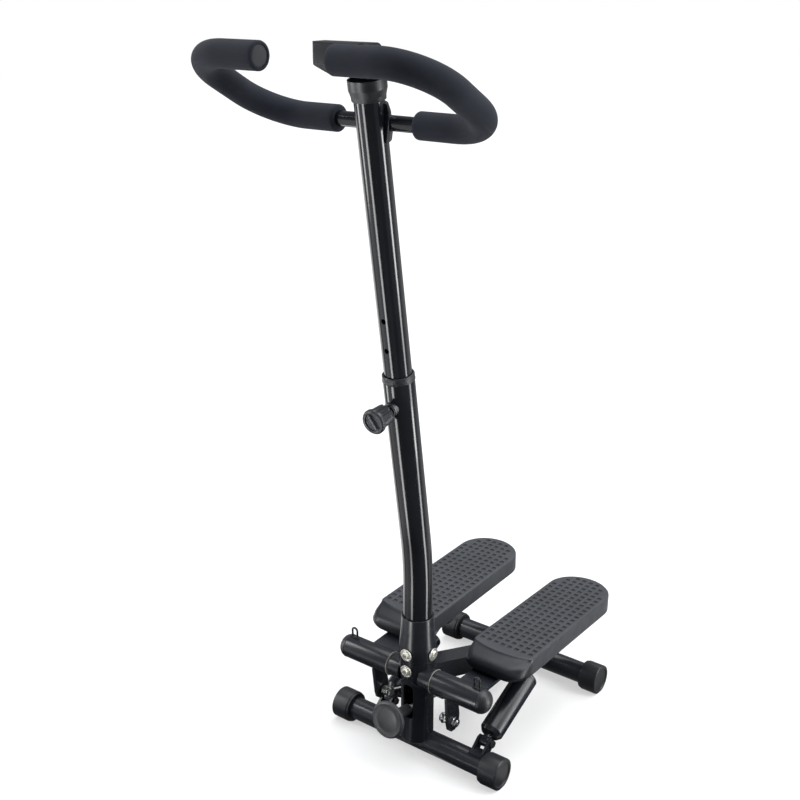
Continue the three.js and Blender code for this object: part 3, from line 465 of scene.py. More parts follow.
def tube(at, stations, normal, sides=48, capped=True):
    """Round rings of the given radii along a flat path. at(s) gives a point and a tangent."""
    rings = []
    for s, r in stations:
        point, tangent = at(s)
        across = Vector(normal).cross(tangent).normalized()
        lift = tangent.cross(across).normalized()
        rings.append([point + (across * math.cos(a) + lift * math.sin(a)) * r
                      for a in circle(sides)])
    return loft(rings, capped=capped)


def straight(start, end):
    """A straight path, measured by distance from its start."""
    a, along = Vector(start), (Vector(end) - Vector(start)).normalized()
    return lambda s: (a + along * s, along)


def rod(start, end, r, sides=32, edge=0.4):
    """A round bar with softened ends."""
    length = (Vector(end) - Vector(start)).length
    _, normal, _ = axis_frame(Vector(end) - Vector(start))
    stations = [(0, r - edge), (edge, r), (length - edge, r), (length, r - edge)]
    return tube(straight(start, end), stations, normal, sides)


def prism(outline, origin, u, v, depth):
    """A 2-D outline on the axes u and v, given thickness along u x v."""
    base, u, v = Vector(origin), Vector(u), Vector(v)
    along = u.cross(v).normalized()
    rings = [[base + u * p[0] + v * p[1] + along * d for p in outline] for d in (0, depth)]
    return loft(rings)


def box_shape(low, high):
    return prism(rectangle(low[0], high[0], low[1], high[1]), (0, 0, low[2]), X, Y,
                 high[2] - low[2])


def hexagon(across, turn=0.0):
    r = across / math.sqrt(3)
    return [(r * math.cos(turn + k * math.pi / 3), r * math.sin(turn + k * math.pi / 3))
            for k in range(6)]


def clean_mesh(shape, scale=1.0, shift=(0, 0, 0)):
    """A mesh with its points merged and its faces turned outwards."""
    mesh = bpy.data.meshes.new("shape")
    points = [(p + Vector(shift)) * scale for p in shape.points]
    mesh.from_pydata(points, [], shape.faces)
    work = bmesh.new()
    work.from_mesh(mesh)
    bmesh.ops.remove_doubles(work, verts=work.verts, dist=1e-3 * scale)
    bmesh.ops.dissolve_degenerate(work, edges=work.edges, dist=1e-4 * scale)
    bmesh.ops.recalc_face_normals(work, faces=work.faces)
    work.to_mesh(mesh)
    work.free()
    return mesh


def carve(shape, *cutters, keep_common=False):
    """The shape with the cutters' solids taken away, or only what they share with it."""
    body = new_object("carved", clean_mesh(shape))
    tools = [new_object("cutter", clean_mesh(cutter)) for cutter in cutters]
    for tool in tools:
        step = body.modifiers.new("cut", "BOOLEAN")
        step.operation = "INTERSECT" if keep_common else "DIFFERENCE"
        step.solver = "EXACT"
        step.object = tool
    evaluated = body.evaluated_get(bpy.context.evaluated_depsgraph_get())
    mesh = evaluated.to_mesh()
    result = Shape([v.co.copy() for v in mesh.vertices], [tuple(p.vertices) for p in mesh.polygons])
    evaluated.to_mesh_clear()
    for item in [body, *tools]:
        data = item.data
        bpy.data.objects.remove(item)
        bpy.data.meshes.remove(data)
    return result


def soften(item, width, segments, angle):
    """Rounds the edges that are sharper than `angle`, by a width in metres."""
    bevel = item.modifiers.new("soft_edges", "BEVEL")
    bevel.width = width
    bevel.segments = segments
    bevel.limit_method = "ANGLE"
    bevel.angle_limit = math.radians(angle)
    bevel.harden_normals = True


def mark_sharp(mesh, angle):
    """Smooth shading, except across the edges that are sharper than `angle`."""
    work = bmesh.new()
    work.from_mesh(mesh)
    limit = math.radians(angle)
    for face in work.faces:
        face.smooth = True
    for edge in work.edges:
        edge.smooth = not (len(edge.link_faces) == 2 and edge.calc_face_angle(0) > limit)
    work.to_mesh(mesh)
    work.free()


def rock_matrix(sign):
    """Turns what is drawn with its pedal level to the pedal's angle at rest."""
    pivot = Vector(PIVOT)
    angle = math.radians(-sign * REST_ROCK)
    return Matrix.Translation(pivot) @ Matrix.Rotation(angle, 4, "X") @ Matrix.Translation(-pivot)


def piece(name, shape, material, body, *nodes, slot=None, sharp=38, soft=None):
    """One visible piece: its mesh in metres, its material, its body and what it stands for.
    A piece that bends from one body to the next has no body here. Its slot is the finish's own;
    the slot argument is not used, and `soft` has the numbers for soften()."""
    mesh = clean_mesh(shape, 0.001, (0, -ORIGIN_Y, 0))
    mesh.name = name
    mark_sharp(mesh, sharp)
    mesh.materials.append(material)
    made = new_object(name, mesh)
    if body:
        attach(made, body)
    if nodes:
        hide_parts(*nodes)
    if soft:
        soften(made, *soft)
    return made


def kept(node, material, edge=0.0006):
    """A CAD node whose shape is right, with softened edges and a finished surface."""
    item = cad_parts[node]
    item.data.materials.clear()
    item.data.materials.append(material)
    weld = item.modifiers.new("weld", "WELD")
    weld.merge_threshold = 1e-6
    soften(item, edge, 2, 40)


# ---- base frame
def stabilizer_tube(y):
    reach = BASE_W / 2 - 4
    tube_path = straight((-reach, y, AXIS_Z), (reach, y, AXIS_Z))
    return tube(tube_path, [(0, TUBE_R), (2 * reach, TUBE_R)], Z, 96)


def foot_cap(sign, y):
    """A moulded cap: a stepped skirt, a rounded rim and a dished end, on a small flat foot."""
    mouth, skirt = TUBE_R + 0.15, CAP_R - 1.4
    start = Vector((sign * (BASE_W / 2 - CAP_LEN), y, AXIS_Z))
    cap = closed_turn([
        (mouth, 0), (skirt, 0), (skirt, 3), (CAP_R, 4.4), (CAP_R, CAP_LEN), (CAP_R - 5, CAP_LEN),
        (CAP_R - 6.5, CAP_LEN - 1.8), (0, CAP_LEN - 1.8), (0, 27), (mouth, 27)],
        [0, 0.6, 0.4, 0.6, 3.2, 0.5, 0.6, 0, 0, 0], start, X * sign, 96, 6)
    for point in cap.points:
        point.z = max(point.z, 0)
    return cap


for place, y in (("front", 0), ("rear", BASE_D)):
    piece(f"{place}_base_tube", stabilizer_tube(y), FRAME_PAINT, "frame", f"{place}_stabilizer")
    for side, sign in SIDES:
        piece(f"{place}_{side}_foot", foot_cap(sign, y), BLACK_PLASTIC, "frame",
              f"{place}_{side}_foot_cap")


SLOT_HALF = 9.6                 # half the width of the slot in front
SLOT_Z = (78, 143)
BOLT_FACE = UPRIGHT_BULGE_R + 0.1


def upright_socket():
    """The flared socket for the post, with the slot at its foot and the seat on the front tube."""
    bore = LOWER_POST_R + 0.3
    shell = closed_turn([
        (bore, 30), (UPRIGHT_R, 30), (UPRIGHT_R, 142), (UPRIGHT_BULGE_R, 160),
        (UPRIGHT_BULGE_R, 206), (UPRIGHT_R + 1, 234), (bore + 2.6, UPRIGHT_TOP_Z),
        (bore, UPRIGHT_TOP_Z)], [0, 0, 30, 30, 60, 60, 0.9, 0.5], (0, UPRIGHT_Y, 0), Z, 128, 8)
    slot = prism(rectangle(-SLOT_HALF, SLOT_HALF, *SLOT_Z, SLOT_HALF * 0.98, 10), (0, -12, 0),
                 X, Z, 50)
    saddle = tube(straight((-60, 0, AXIS_Z), (60, 0, AXIS_Z)),
                  [(0, TUBE_R + 0.1), (120, TUBE_R + 0.1)], Z, 96)
    below = box_shape((-60, -60, 0), (60, 60, AXIS_Z))
    return carve(shell, slot, saddle, below)


def axle_boss(sign):
    return flat_ring(AXLE_R + 0.1, 18.5, 20, SLEEVE_IN - 2.6, [0, 0, 1, 0], PIVOT, X * sign, 72)


def weld_ring(origin, axis, radius, bead, depth, sides=160):
    """A rippled bead of weld round a tube. depth(angle) slides it along the axis."""
    side, up, along = axis_frame(axis)
    rings = []
    for angle in circle(sides):
        out = side * math.cos(angle) + up * math.sin(angle)
        size = bead * (0.9 + 0.14 * math.sin(angle * 34))
        middle = Vector(origin) + out * radius + along * depth(angle)
        rings.append([middle + (out * math.cos(a) + along * math.sin(a)) * size
                      for a in circle(8)])
    rings.append(rings[0])
    return loft(rings, capped=False)


def socket_bolt(seat, out, washer=10.6):
    """A flat washer and a low round head with a hexagonal socket."""
    side, up, along = axis_frame(out)
    disc = closed_turn([(3, 0), (washer, 0), (washer, 1.7), (8.4, 1.7), (7.6, 1.3), (3, 1.3)],
                       [0, 0.5, 0.4, 0.3, 0.3, 0], seat, out, 72, 4)
    dome = rounded([(0, 1.3), (6.6, 1.3), (6.6, 3.2), (5.8, 4.6), (0, 4.9)], [0, 0.2, 1, 1, 0], 6)
    recess = prism(hexagon(6.6), Vector(seat) + along * 1.8, side, up, 8)
    return disc + carve(turned(dome, seat, out, 72), recess)


piece("upright_socket", upright_socket() + axle_boss(1) + axle_boss(-1), FRAME_PAINT, "frame",
      "upright", soft=(0.0007, 3, 40))
for place, z in (("lower", 171.5), ("upper", 202)):
    piece(f"{place}_socket_bolt", socket_bolt((0, UPRIGHT_Y - BOLT_FACE, z), -Y), PLATED,
          "frame", f"upright_bolt_{place}")
piece("side_socket_bolt", socket_bolt((BOLT_FACE, UPRIGHT_Y, 200), X), PLATED, "frame",
      "upright_bolt_side")
kept("main_beam", FRAME_PAINT, 0.003)


# ---- post
lean = math.tan(POST_LEAN)
post_up = Vector((0, -math.sin(POST_LEAN), math.cos(POST_LEAN)))


def post_at(z, along=0.0):
    return Vector((0, UPRIGHT_Y - (z - BEND_Z) * lean, z)) + post_up * along


# The lower post: a straight foot, a bend, and a straight top that leans.
BEND_HALF = BEND_R * math.tan(POST_LEAN / 2)
POST_FOOT_LEN = BEND_Z - BEND_HALF - LOWER_POST_FOOT_Z
POST_BEND_LEN = BEND_R * POST_LEAN
bend_end = Vector((0, UPRIGHT_Y, BEND_Z)) + post_up * BEND_HALF


def lower_post_path(s):
    """A point and its tangent on the lower post, s millimetres above its foot."""
    if s <= POST_FOOT_LEN:
        return Vector((0, UPRIGHT_Y, LOWER_POST_FOOT_Z + s)), Z.copy()
    if s <= POST_FOOT_LEN + POST_BEND_LEN:
        a = (s - POST_FOOT_LEN) / BEND_R
        point = Vector((0, UPRIGHT_Y - BEND_R * (1 - math.cos(a)),
                        BEND_Z - BEND_HALF + BEND_R * math.sin(a)))
        return point, Vector((0, -math.sin(a), math.cos(a)))
    return bend_end + post_up * (s - POST_FOOT_LEN - POST_BEND_LEN), post_up.copy()


def lower_post_tube():
    length = POST_FOOT_LEN + POST_BEND_LEN + (post_at(LOWER_POST_TOP_Z) - bend_end).length
    stations = [(0, LOWER_POST_R), (POST_FOOT_LEN, LOWER_POST_R)]
    stations += [(POST_FOOT_LEN + POST_BEND_LEN * k / 24, LOWER_POST_R) for k in range(1, 25)]
    stations += [(length - 1, LOWER_POST_R), (length, LOWER_POST_R - 0.6),
                 (length, LOWER_POST_R - 2), (length - 30, LOWER_POST_R - 2)]
    return tube(lower_post_path, stations, X, 128)


def upper_post_tube():
    start = post_at(PIN_Z, -36)
    length = (UPPER_POST_TOP_Z - start.z) / post_up.z
    path = straight(start, start + post_up)
    outer = tube(path, [(0, UPPER_POST_R), (length, UPPER_POST_R)], X, 128)
    inner = tube(path, [(-5, UPPER_POST_R - 2), (length + 5, UPPER_POST_R - 2)], X, 96)
    forward = Vector((0, -post_up.z, post_up.y))
    holes = Shape()
    for step in range(4):
        point = post_at(PIN_Z, step * HOLE_PITCH)
        holes += rod(point, point + forward * 40, 4.2, 32, 0.01)
    bar_hole = rod((-60, *BAR_START), (60, *BAR_START), BAR_R + 0.3, 64, 0.01)
    return carve(outer, inner, holes, bar_hole)


def post_collar():
    """The moulded guide in the mouth of the lower post: a rolled rim over a thin skirt."""
    inside, skirt, rim = UPPER_POST_R + 0.2, LOWER_POST_R - 2.2, LOWER_POST_R + 0.8
    return closed_turn([
        (inside, -28), (skirt, -28), (skirt, 0.2), (rim, 0.2), (rim, 2.4), (LOWER_POST_R + 0.3, 3),
        (LOWER_POST_R + 0.5, 9.5), (LOWER_POST_R - 0.8, 11), (inside + 0.6, 11), (inside, 9.6)],
        [0, 0, 0, 0.5, 0.4, 0.3, 1.2, 1, 0.5, 0.3], post_at(LOWER_POST_TOP_Z), post_up, 128)


PIN_START = UPPER_POST_R + 1.7
KNOB_BACK = LOWER_POST_R + 13
KNOB_FACE = 71

# The pull pin stands square to the leaning post.
pin_out = Vector((0, -math.cos(POST_LEAN), -math.sin(POST_LEAN)))
pin_turn = X.cross(pin_out)


def pin_nut():
    """The welded seat with a plain washer, and the hexagonal lock nut behind the knob."""
    point = post_at(PIN_Z)
    seat = flat_ring(4.4, 11.5, 18, LOWER_POST_R + 5.4, [0, 0, 1.2, 0], point, pin_out, pieces=5)
    washer = flat_ring(4.4, 10.4, 29.5, 31, [0, 0.4, 0.5, 0], point, pin_out)
    return seat + washer, prism(hexagon(15), point + pin_out * 31.2, X, pin_turn, 5)


def pull_knob():
    """A deeply fluted knob on a thin neck, with a rounded rim and a bar across its face."""
    point = post_at(PIN_Z)
    outline = rounded([
        (0, PIN_START), (3.6, PIN_START), (3.6, KNOB_BACK), (11.5, KNOB_BACK),
        (15.5, KNOB_BACK + 2), (17.2, KNOB_FACE - 11), (19.2, KNOB_FACE - 8),
        (19.4, KNOB_FACE - 3), (17.4, KNOB_FACE), (14.2, KNOB_FACE - 0.6),
        (13, KNOB_FACE - 3.2), (0, KNOB_FACE - 3.6)],
        [0, 0.8, 0, 1.2, 2, 1, 1, 2, 1.6, 1, 1, 0], 6)

    def flute(angle, r, h):
        if not KNOB_BACK < h < KNOB_FACE - 9 or r < 6:
            return r
        fade = min(1.0, (h - KNOB_BACK) / 3, (KNOB_FACE - 9 - h) / 2)
        return r - 3.6 * fade * max(0.0, math.cos(angle * 8)) ** 0.6

    dense = []
    for a, b in zip(outline, outline[1:]):
        pieces = max(1, int((b - a).length / 1.5)) if a.x > 11 and b.x > 11 else 1
        dense += [a + (b - a) * k / pieces for k in range(pieces)]
    dense.append(outline[-1])
    body = turned(dense, point, pin_out, 224, flute)
    turn = math.radians(58)
    across = X * math.cos(turn) + pin_turn * math.sin(turn)
    finger_bar = prism(rectangle(-12, 12, -2, 2, 1.9), point + pin_out * (KNOB_FACE - 4), across,
                       pin_out.cross(across), 4)
    return body, finger_bar


piece("lower_post_tube", lower_post_tube(), BLACK_PAINT, "frame", "lower_post")
piece("upper_post_tube", upper_post_tube(), BLACK_PAINT, "post", "upper_post",
      soft=(0.0004, 2, 40))
piece("post_collar", post_collar(), BLACK_PLASTIC, "frame", "post_bushing")
seat, lock_nut = pin_nut()
piece("pin_nut", seat, STEEL, "frame", "pin_seat")
piece("pin_lock_nut", lock_nut, STEEL, "frame", "pin_seat", soft=(0.0006, 3, 30))
knob_body, finger_bar = pull_knob()
piece("pull_knob", knob_body, KNOB_BLACK, "pull_pin", "pull_pin")
piece("pull_knob_bar", finger_bar, BAR_GREY, "pull_pin", "pull_pin", soft=(0.0008, 3, 30))


# ---- handlebar
bar_start = Vector((0, *BAR_START))
bar_rise = Vector((0, *BAR_END)) - bar_start
bar_height = bar_rise.length
bar_climb = bar_rise.normalized()
bar_normal = X.cross(bar_climb).normalized()
QUARTER = BAR_BEND_R * math.pi / 2


def bar_path(sign, from_x):
    """The path of one half of the bar, measured along it from |x| = from_x."""
    first = BAR_STRAIGHT_X - from_x
    rise = bar_height - 2 * BAR_BEND_R
    out = X * sign

    def bend(angle, centre):
        place = out * (BAR_STRAIGHT_X + BAR_BEND_R * math.cos(angle))
        return (bar_start + (place + bar_climb * (centre + BAR_BEND_R * math.sin(angle))),
                out * -math.sin(angle) + bar_climb * math.cos(angle))

    def point_at(s):
        if s <= first:
            return bar_start + out * (from_x + s), out.copy()
        s -= first
        if s <= QUARTER:
            return bend(s / BAR_BEND_R - math.pi / 2, BAR_BEND_R)
        s -= QUARTER
        if s <= rise:
            place = out * (BAR_STRAIGHT_X + BAR_BEND_R) + bar_climb * (BAR_BEND_R + s)
            return bar_start + place, bar_climb.copy()
        s -= rise
        if s <= QUARTER:
            return bend(s / BAR_BEND_R, bar_height - BAR_BEND_R)
        s -= QUARTER
        return bar_start + out * (BAR_STRAIGHT_X - s) + bar_climb * bar_height, -out

    return point_at, first + 2 * QUARTER + rise + BAR_STRAIGHT_X - BAR_TIP_X


def handlebar_tube():
    made = Shape()
    for _, sign in SIDES:
        path, length = bar_path(sign, 0)
        end = length - 6
        made += tube(path, [(end * k / 90, BAR_R) for k in range(91)], bar_normal, 64)
    return made


FOAM_PAST_BAR = 4               # the foam reaches this far past the end of the bar
PLUG_R = GRIP_R - 4.5


def foam_grip(sign):
    """A foam sleeve with soft ends, open at the bore where the bar goes in."""
    path, length = bar_path(sign, GRIP_START_X)
    length += FOAM_PAST_BAR
    bore = BAR_R + 0.2
    edge = [(0, GRIP_R - 2.6), (0.3, GRIP_R - 1.5), (1.1, GRIP_R - 0.6), (2.6, GRIP_R)]
    stations = [(9, bore), (0.2, bore), *edge]
    stations += [(2.6 + (length - 5.2) * k / 100, GRIP_R) for k in range(1, 100)]
    stations += [(length - s, r) for s, r in reversed(edge)]
    stations += [(length - 0.2, PLUG_R), (length - 3, PLUG_R), (length - 3.1, bore),
                 (length - 9, bore)]
    return tube(path, stations, bar_normal, 72, capped=False)


def grip_plug(sign):
    outline = rounded([(0, 0.3), (BAR_R + 0.1, 0.3), (BAR_R + 0.1, 7.1), (PLUG_R - 0.1, 7.1),
                       (PLUG_R - 0.1, 8.8), (PLUG_R - 2.2, 9.4), (0, 8.6)],
                      [0, 0, 0, 0.3, 0.8, 1.5, 0], 4)
    tip = sign * (BAR_TIP_X + 6)
    return turned(outline, (tip, *BAR_END), X * -sign, 64)


def bar_cradle():
    """The half shell behind the post, drawn in round the bar."""
    inner, outer = UPPER_POST_R + 0.2, UPPER_POST_R + 6.5
    centre = post_at(BAR_START[1])
    shell = closed_turn([(inner, -25), (inner + 3.6, -25), (outer, -13), (outer, 13),
                         (inner + 3.6, 25), (inner, 25)], [0, 2, 5, 5, 2, 0], centre, post_up, 128)
    front = box_shape((-60, -220, 950), (60, centre.y + 2, 1150))
    hole = rod((-60, *BAR_START), (60, *BAR_START), BAR_R + 0.2, 64, 0.01)
    return carve(shell, front, hole)


piece("handlebar_tube", handlebar_tube(), BLACK_PAINT, "post", "handlebar")
piece("bar_cradle", bar_cradle(), BLACK_PAINT, "post", "bar_saddle", soft=(0.0008, 3, 35))
for side, sign in SIDES:
    grip = piece(f"{side}_grip", foam_grip(sign), FOAM, "post", f"{side}_foam_grip")
    piece(f"{side}_grip_plug", grip_plug(sign), PLUG_RUBBER, "post", f"{side}_grip_end_plug")


# ---- console
DISPLAY_LOW = Vector((0, -108, 1126))
DISPLAY_HIGH = Vector((0, -150, 1163))
display_up = (DISPLAY_HIGH - DISPLAY_LOW).normalized()
display_out = display_up.cross(X).normalized()


def on_display(x, up, lift=0.0):
    return DISPLAY_LOW + X * x + display_up * up + display_out * lift


def display_slab(x0, x1, up0, up1, corner, low, high, pieces=5):
    """A slab with round corners, between two heights over the sloping face."""
    return prism(rectangle(x0, x1, up0, up1, corner, pieces), on_display(0, 0, low), X,
                 display_up, high - low)


def console_case():
    """A block cut to its side, plan and front views, with a sunk display and a key hole."""
    side_view = rounded([
        (-187, 1137), (-187, 1163), (-150, 1163), (-108, 1126), (-106, 1113.5), (-135, 1117),
        (-150, 1121)], [5, 5, 14, 5, 3, 14, 20], 8, closed=True)
    half = CONSOLE_W / 2
    body = prism(side_view, (-half, 0, 0), Y, Z, CONSOLE_W)
    plan = rectangle(-half, half, -187.5, -100, [15, 15, 6, 6], 8)
    body = carve(body, prism(plan, (0, 0, 1080), X, Y, 100), keep_common=True)
    front_view = rounded([(-half, 1168), (-half, 1110), (half, 1110), (half, 1168)],
                         [0, 15, 15, 0], 8, closed=True)
    body = carve(body, prism(front_view, (0, -200, 0), -X, Z, 140), keep_common=True)
    panel = display_slab(-36, 36, 5, 51, 5, -0.7, 7.3, 6)
    pocket = display_slab(-31, 31, 20, 46, 3, -1.6, 6.4)
    key_hole = rod(on_display(0, 10.5, -4.8), on_display(0, 10.5, 8), 6.3, 48, 0.01)
    neck = rod(post_at(UPPER_POST_TOP_Z, -20), post_at(UPPER_POST_TOP_Z, 8), 26.4, 96, 0.01)
    return carve(body, panel, pocket, key_hole, neck)


def console_collar():
    r = UPPER_POST_R + 0.2
    return closed_turn([(r, -16), (r + 2.1, -16), (r + 2.6, -10), (r + 5.2, -1), (r + 5.2, 12),
                        (0, 12), (0, 0.3), (r, 0.3)], [0, 0.8, 4, 3, 0, 0, 0, 0],
                       post_at(UPPER_POST_TOP_Z), post_up, 128, 6)


piece("console_case", console_case(), CASE_PLASTIC, "post", "console_housing",
      soft=(0.0012, 4, 30))
piece("console_collar", console_collar(), BLACK_PLASTIC, "post", "console_neck")
piece("console_screen", display_slab(-30.8, 30.8, 20.2, 45.8, 2.8, -1.55, -0.4), SCREEN, "post",
      "console_window", soft=(0.0003, 2, 30))
piece("console_key", rod(on_display(0, 10.5, -2.5), on_display(0, 10.5, 2), 6, 48, 0.9),
      PEDAL_PLASTIC, "button", "console_button", soft=(0.0004, 2, 30))


# ---- pedals
def resampled(line, count):
    """The same line as `count` evenly spaced points."""
    reach = [0.0]
    for a, b in zip(line, line[1:]):
        reach.append(reach[-1] + (b - a).length)
    result = []
    spot = 0
    for step in range(count):
        goal = reach[-1] * step / (count - 1)
        while spot < len(line) - 2 and reach[spot + 1] < goal:
            spot += 1
        span = reach[spot + 1] - reach[spot]
        result.append(line[spot].lerp(line[spot + 1], (goal - reach[spot]) / span if span else 0))
    return result


def smooth_step(t):
    t = min(1.0, max(0.0, t))
    return t * t * (3 - 2 * t)


# Wall sections from the flat of the tread, over the edge and down, then up inside to the ceiling.
# Each point is (distance in from the pedal's outline, height). The nose slopes off from a crease
# and bulges forwards.
TOP = PEDAL_TOP_Z
SIDE_FLAT = [Vector((10, TOP)), Vector((6, TOP))]
SIDE_EDGE = rounded([(6, TOP), (0, TOP), (0, TOP - 6)], [0, 2.9, 0], 8)
SIDE_WALL = [Vector((0, TOP - 6)), Vector((0, TOP - 30))]
SIDE_INSIDE = rounded([(0, TOP - 30), (PEDAL_WALL, TOP - 30), (PEDAL_WALL, TOP - 4.5),
                       (14, TOP - 4.5)], [0, 0.8, 2, 0], 3)
NOSE_FLAT = [Vector((42, TOP)), Vector((34, TOP))]
NOSE_EDGE = rounded([(34, TOP), (32, TOP), (30.6, TOP - 1.3)], [0, 0.6, 0], 8)
NOSE_WALL = rounded([(30.6, TOP - 1.3), (27, TOP - 3.6), (9, TOP - 7.5), (0, TOP - 14),
                     (-1, TOP - 26), (3, TOP - 33), (10, TOP - 35)], 60, 6)
NOSE_INSIDE = rounded([(10, TOP - 35), (14, TOP - 35), (17, TOP - 14), (42, TOP - 4.5),
                       (50, TOP - 4.5)], [0, 1, 4, 4, 0], 3)
CREASE_BOW = 12                 # how far the crease runs back from its middle to the edges
CREASE_CORNER = 7
NOSE_CORNER = 31
NOSE_DEPTH = 13                 # below the crease, where the nose has its full round corners


def pedal_ring(side, nose):
    """One level line of the pedal: a bowed nose, round corners and half an ellipse at the heel."""
    inset, side_z = side
    front_inset, nose_z = nose
    fullness = smooth_step((TOP - nose_z) / NOSE_DEPTH)
    half = PEDAL_W / 2 - inset
    corner = CREASE_CORNER + (NOSE_CORNER - CREASE_CORNER) * fullness - 0.5 * inset
    bow = CREASE_BOW + (4 - CREASE_BOW) * fullness
    swell = 5 * math.sin(math.pi * min(1, max(0, (TOP - nose_z) / 33)))
    front = PEDAL_FRONT_Y + front_inset
    right = []

    def add(x, y, weight):
        x *= 1 + swell * weight / (PEDAL_W / 2)
        right.append(Vector((x, y, side_z + (nose_z - side_z) * weight)))

    for step in range(14):
        x = (half - corner) * step / 14
        add(x, front + bow * (x / half) ** 2, 1)
    turn_y = front + bow * ((half - corner) / half) ** 2
    for step in range(20):
        turn = math.pi / 2 * step / 20
        add(half - corner + corner * math.sin(turn), turn_y + corner * (1 - math.cos(turn)),
            smooth_step(1 - turn / (math.pi / 2)))
    start = turn_y + corner
    heel = PEDAL_HEEL - inset
    for step in range(30):
        y = start + (PEDAL_REAR_Y - PEDAL_HEEL - start) * step / 30
        add(half, y, 0)
    for step in range(33):
        turn = math.pi / 2 * step / 32
        add(half * math.cos(turn), PEDAL_REAR_Y - PEDAL_HEEL + heel * math.sin(turn), 0)
    left = [Vector((-p.x, p.y, p.z)) for p in reversed(right[1:-1])]
    return right + left


def pedal_shell():
    rings = []
    for side_line, nose_line, count in ((SIDE_FLAT, NOSE_FLAT, 4), (SIDE_EDGE, NOSE_EDGE, 8),
                                        (SIDE_WALL, NOSE_WALL, 24), (SIDE_INSIDE, NOSE_INSIDE, 12)):
        levels = list(zip(resampled(side_line, count), resampled(nose_line, count)))
        rings += [pedal_ring(side, nose) for side, nose in (levels[1:] if rings else levels)]
    return loft(rings)


# Half the width of a pit at its floor, over the floor's edge, at its rim and above.
PIT_LEVELS = [(3.0, TOP - 2.2), (3.5, TOP - 1.8), (4.1, TOP + 0.01), (4.5, TOP + 1)]


def stud_dimples():
    """Shallow square pits with soft corners, in straight rows on the tread."""
    rows, columns = 8, 21
    across, along, first = 13.4, 14.2, PEDAL_FRONT_Y + 54
    pits = Shape()
    for row in range(rows):
        x = (row - (rows - 1) / 2) * across
        for column in range(columns):
            y = first + column * along
            past = max(0.0, y - (PEDAL_REAR_Y - PEDAL_HEEL))
            reach = (PEDAL_W / 2 - 9) * math.sqrt(max(0, 1 - (past / (PEDAL_HEEL - 8)) ** 2))
            if abs(x) > reach - 1:
                continue
            levels = []
            for size, z in PIT_LEVELS:
                outline = rectangle(-size, size, -size, size, size * 0.4, 3)
                levels.append([Vector((x + p.x, y + p.y, z)) for p in outline])
            pits += loft(levels)
    return pits


def give_nose_shaded_finish(tread):
    """The nose in front of the crease has its own smoother finish, darkened as painted shade."""
    tread.data.materials.append(SHADED_NOSE_PLASTIC)
    middle = sum(corner[0] for corner in tread.bound_box) / 8
    for face in tread.data.polygons:
        across = (face.center.x - middle) * 1000 / (PEDAL_W / 2)
        crease = PEDAL_FRONT_Y + 31.5 + CREASE_BOW * across ** 2
        if face.center.y * 1000 + ORIGIN_Y < crease:
            face.material_index = 1


pedal_shape = carve(pedal_shell(), stud_dimples())
for side, sign in SIDES:
    placed = pedal_shape.moved(rock_matrix(sign) @ Matrix.Translation(X * sign * PEDAL_X))
    give_nose_shaded_finish(piece(f"{side}_tread", placed, PEDAL_PLASTIC, f"{side}_pedal",
                           f"{side}_pedal", sharp=26))


# ---- pivot sleeves and pedal arms
BUSH_END = 66


def pivot_sleeve(sign):
    return flat_ring(BUSH_R + 0.2, SLEEVE_R, SLEEVE_IN, SLEEVE_OUT, [0, 0.7, 0.5, 0], PIVOT,
                     X * sign, 128, 5)


def inner_bush(sign):
    """The bush's thin flange, which shows as a pale line at the sleeve's end."""
    bore, face = AXLE_R + 0.1, SLEEVE_IN - 0.15
    return closed_turn([(bore, face - 0.8), (SLEEVE_R + 0.5, face - 0.8), (SLEEVE_R + 0.5, face),
                        (BUSH_R, face), (BUSH_R, BUSH_END), (bore, BUSH_END)],
                       [0, 0.5, 0.4, 0, 0, 0], PIVOT, X * sign, 128)


def sleeve_cap(sign):
    """A domed plastic cap with a small lip over the sleeve's end, and the bush behind it."""
    bore, end = AXLE_R + 0.1, AXLE_HALF + 1
    lip = rounded([
        (0, end), (bore, end), (bore, end - 22), (BUSH_R, end - 22), (BUSH_R, SLEEVE_OUT + 0.2),
        (SLEEVE_R + 0.3, SLEEVE_OUT + 0.2), (SLEEVE_R + 0.3, SLEEVE_OUT + 1.4),
        (SLEEVE_R - 0.3, SLEEVE_OUT + 1.6)], [0, 0, 0, 0, 0, 0.4, 0.4, 0], 6)
    dome = [Vector(((SLEEVE_R - 0.3) * math.cos(a),
                    SLEEVE_OUT + 1.6 + (CAP_DOME - 1.8) * math.sin(a)))
            for a in (math.pi / 2 * k / 24 for k in range(1, 25))]
    return turned(lip + dome, PIVOT, X * sign, 96)


BAND_LOOP_X = 124
ARM_LOW = 146
ARM_TOP = 165.5
ARM_STEEL = 3
ARM_NECK_TOP = 152              # top of the arm's flat neck, which passes under the pedal's nose
ARM_NECK = 16                   # the neck's outer edge, from the pedal's middle


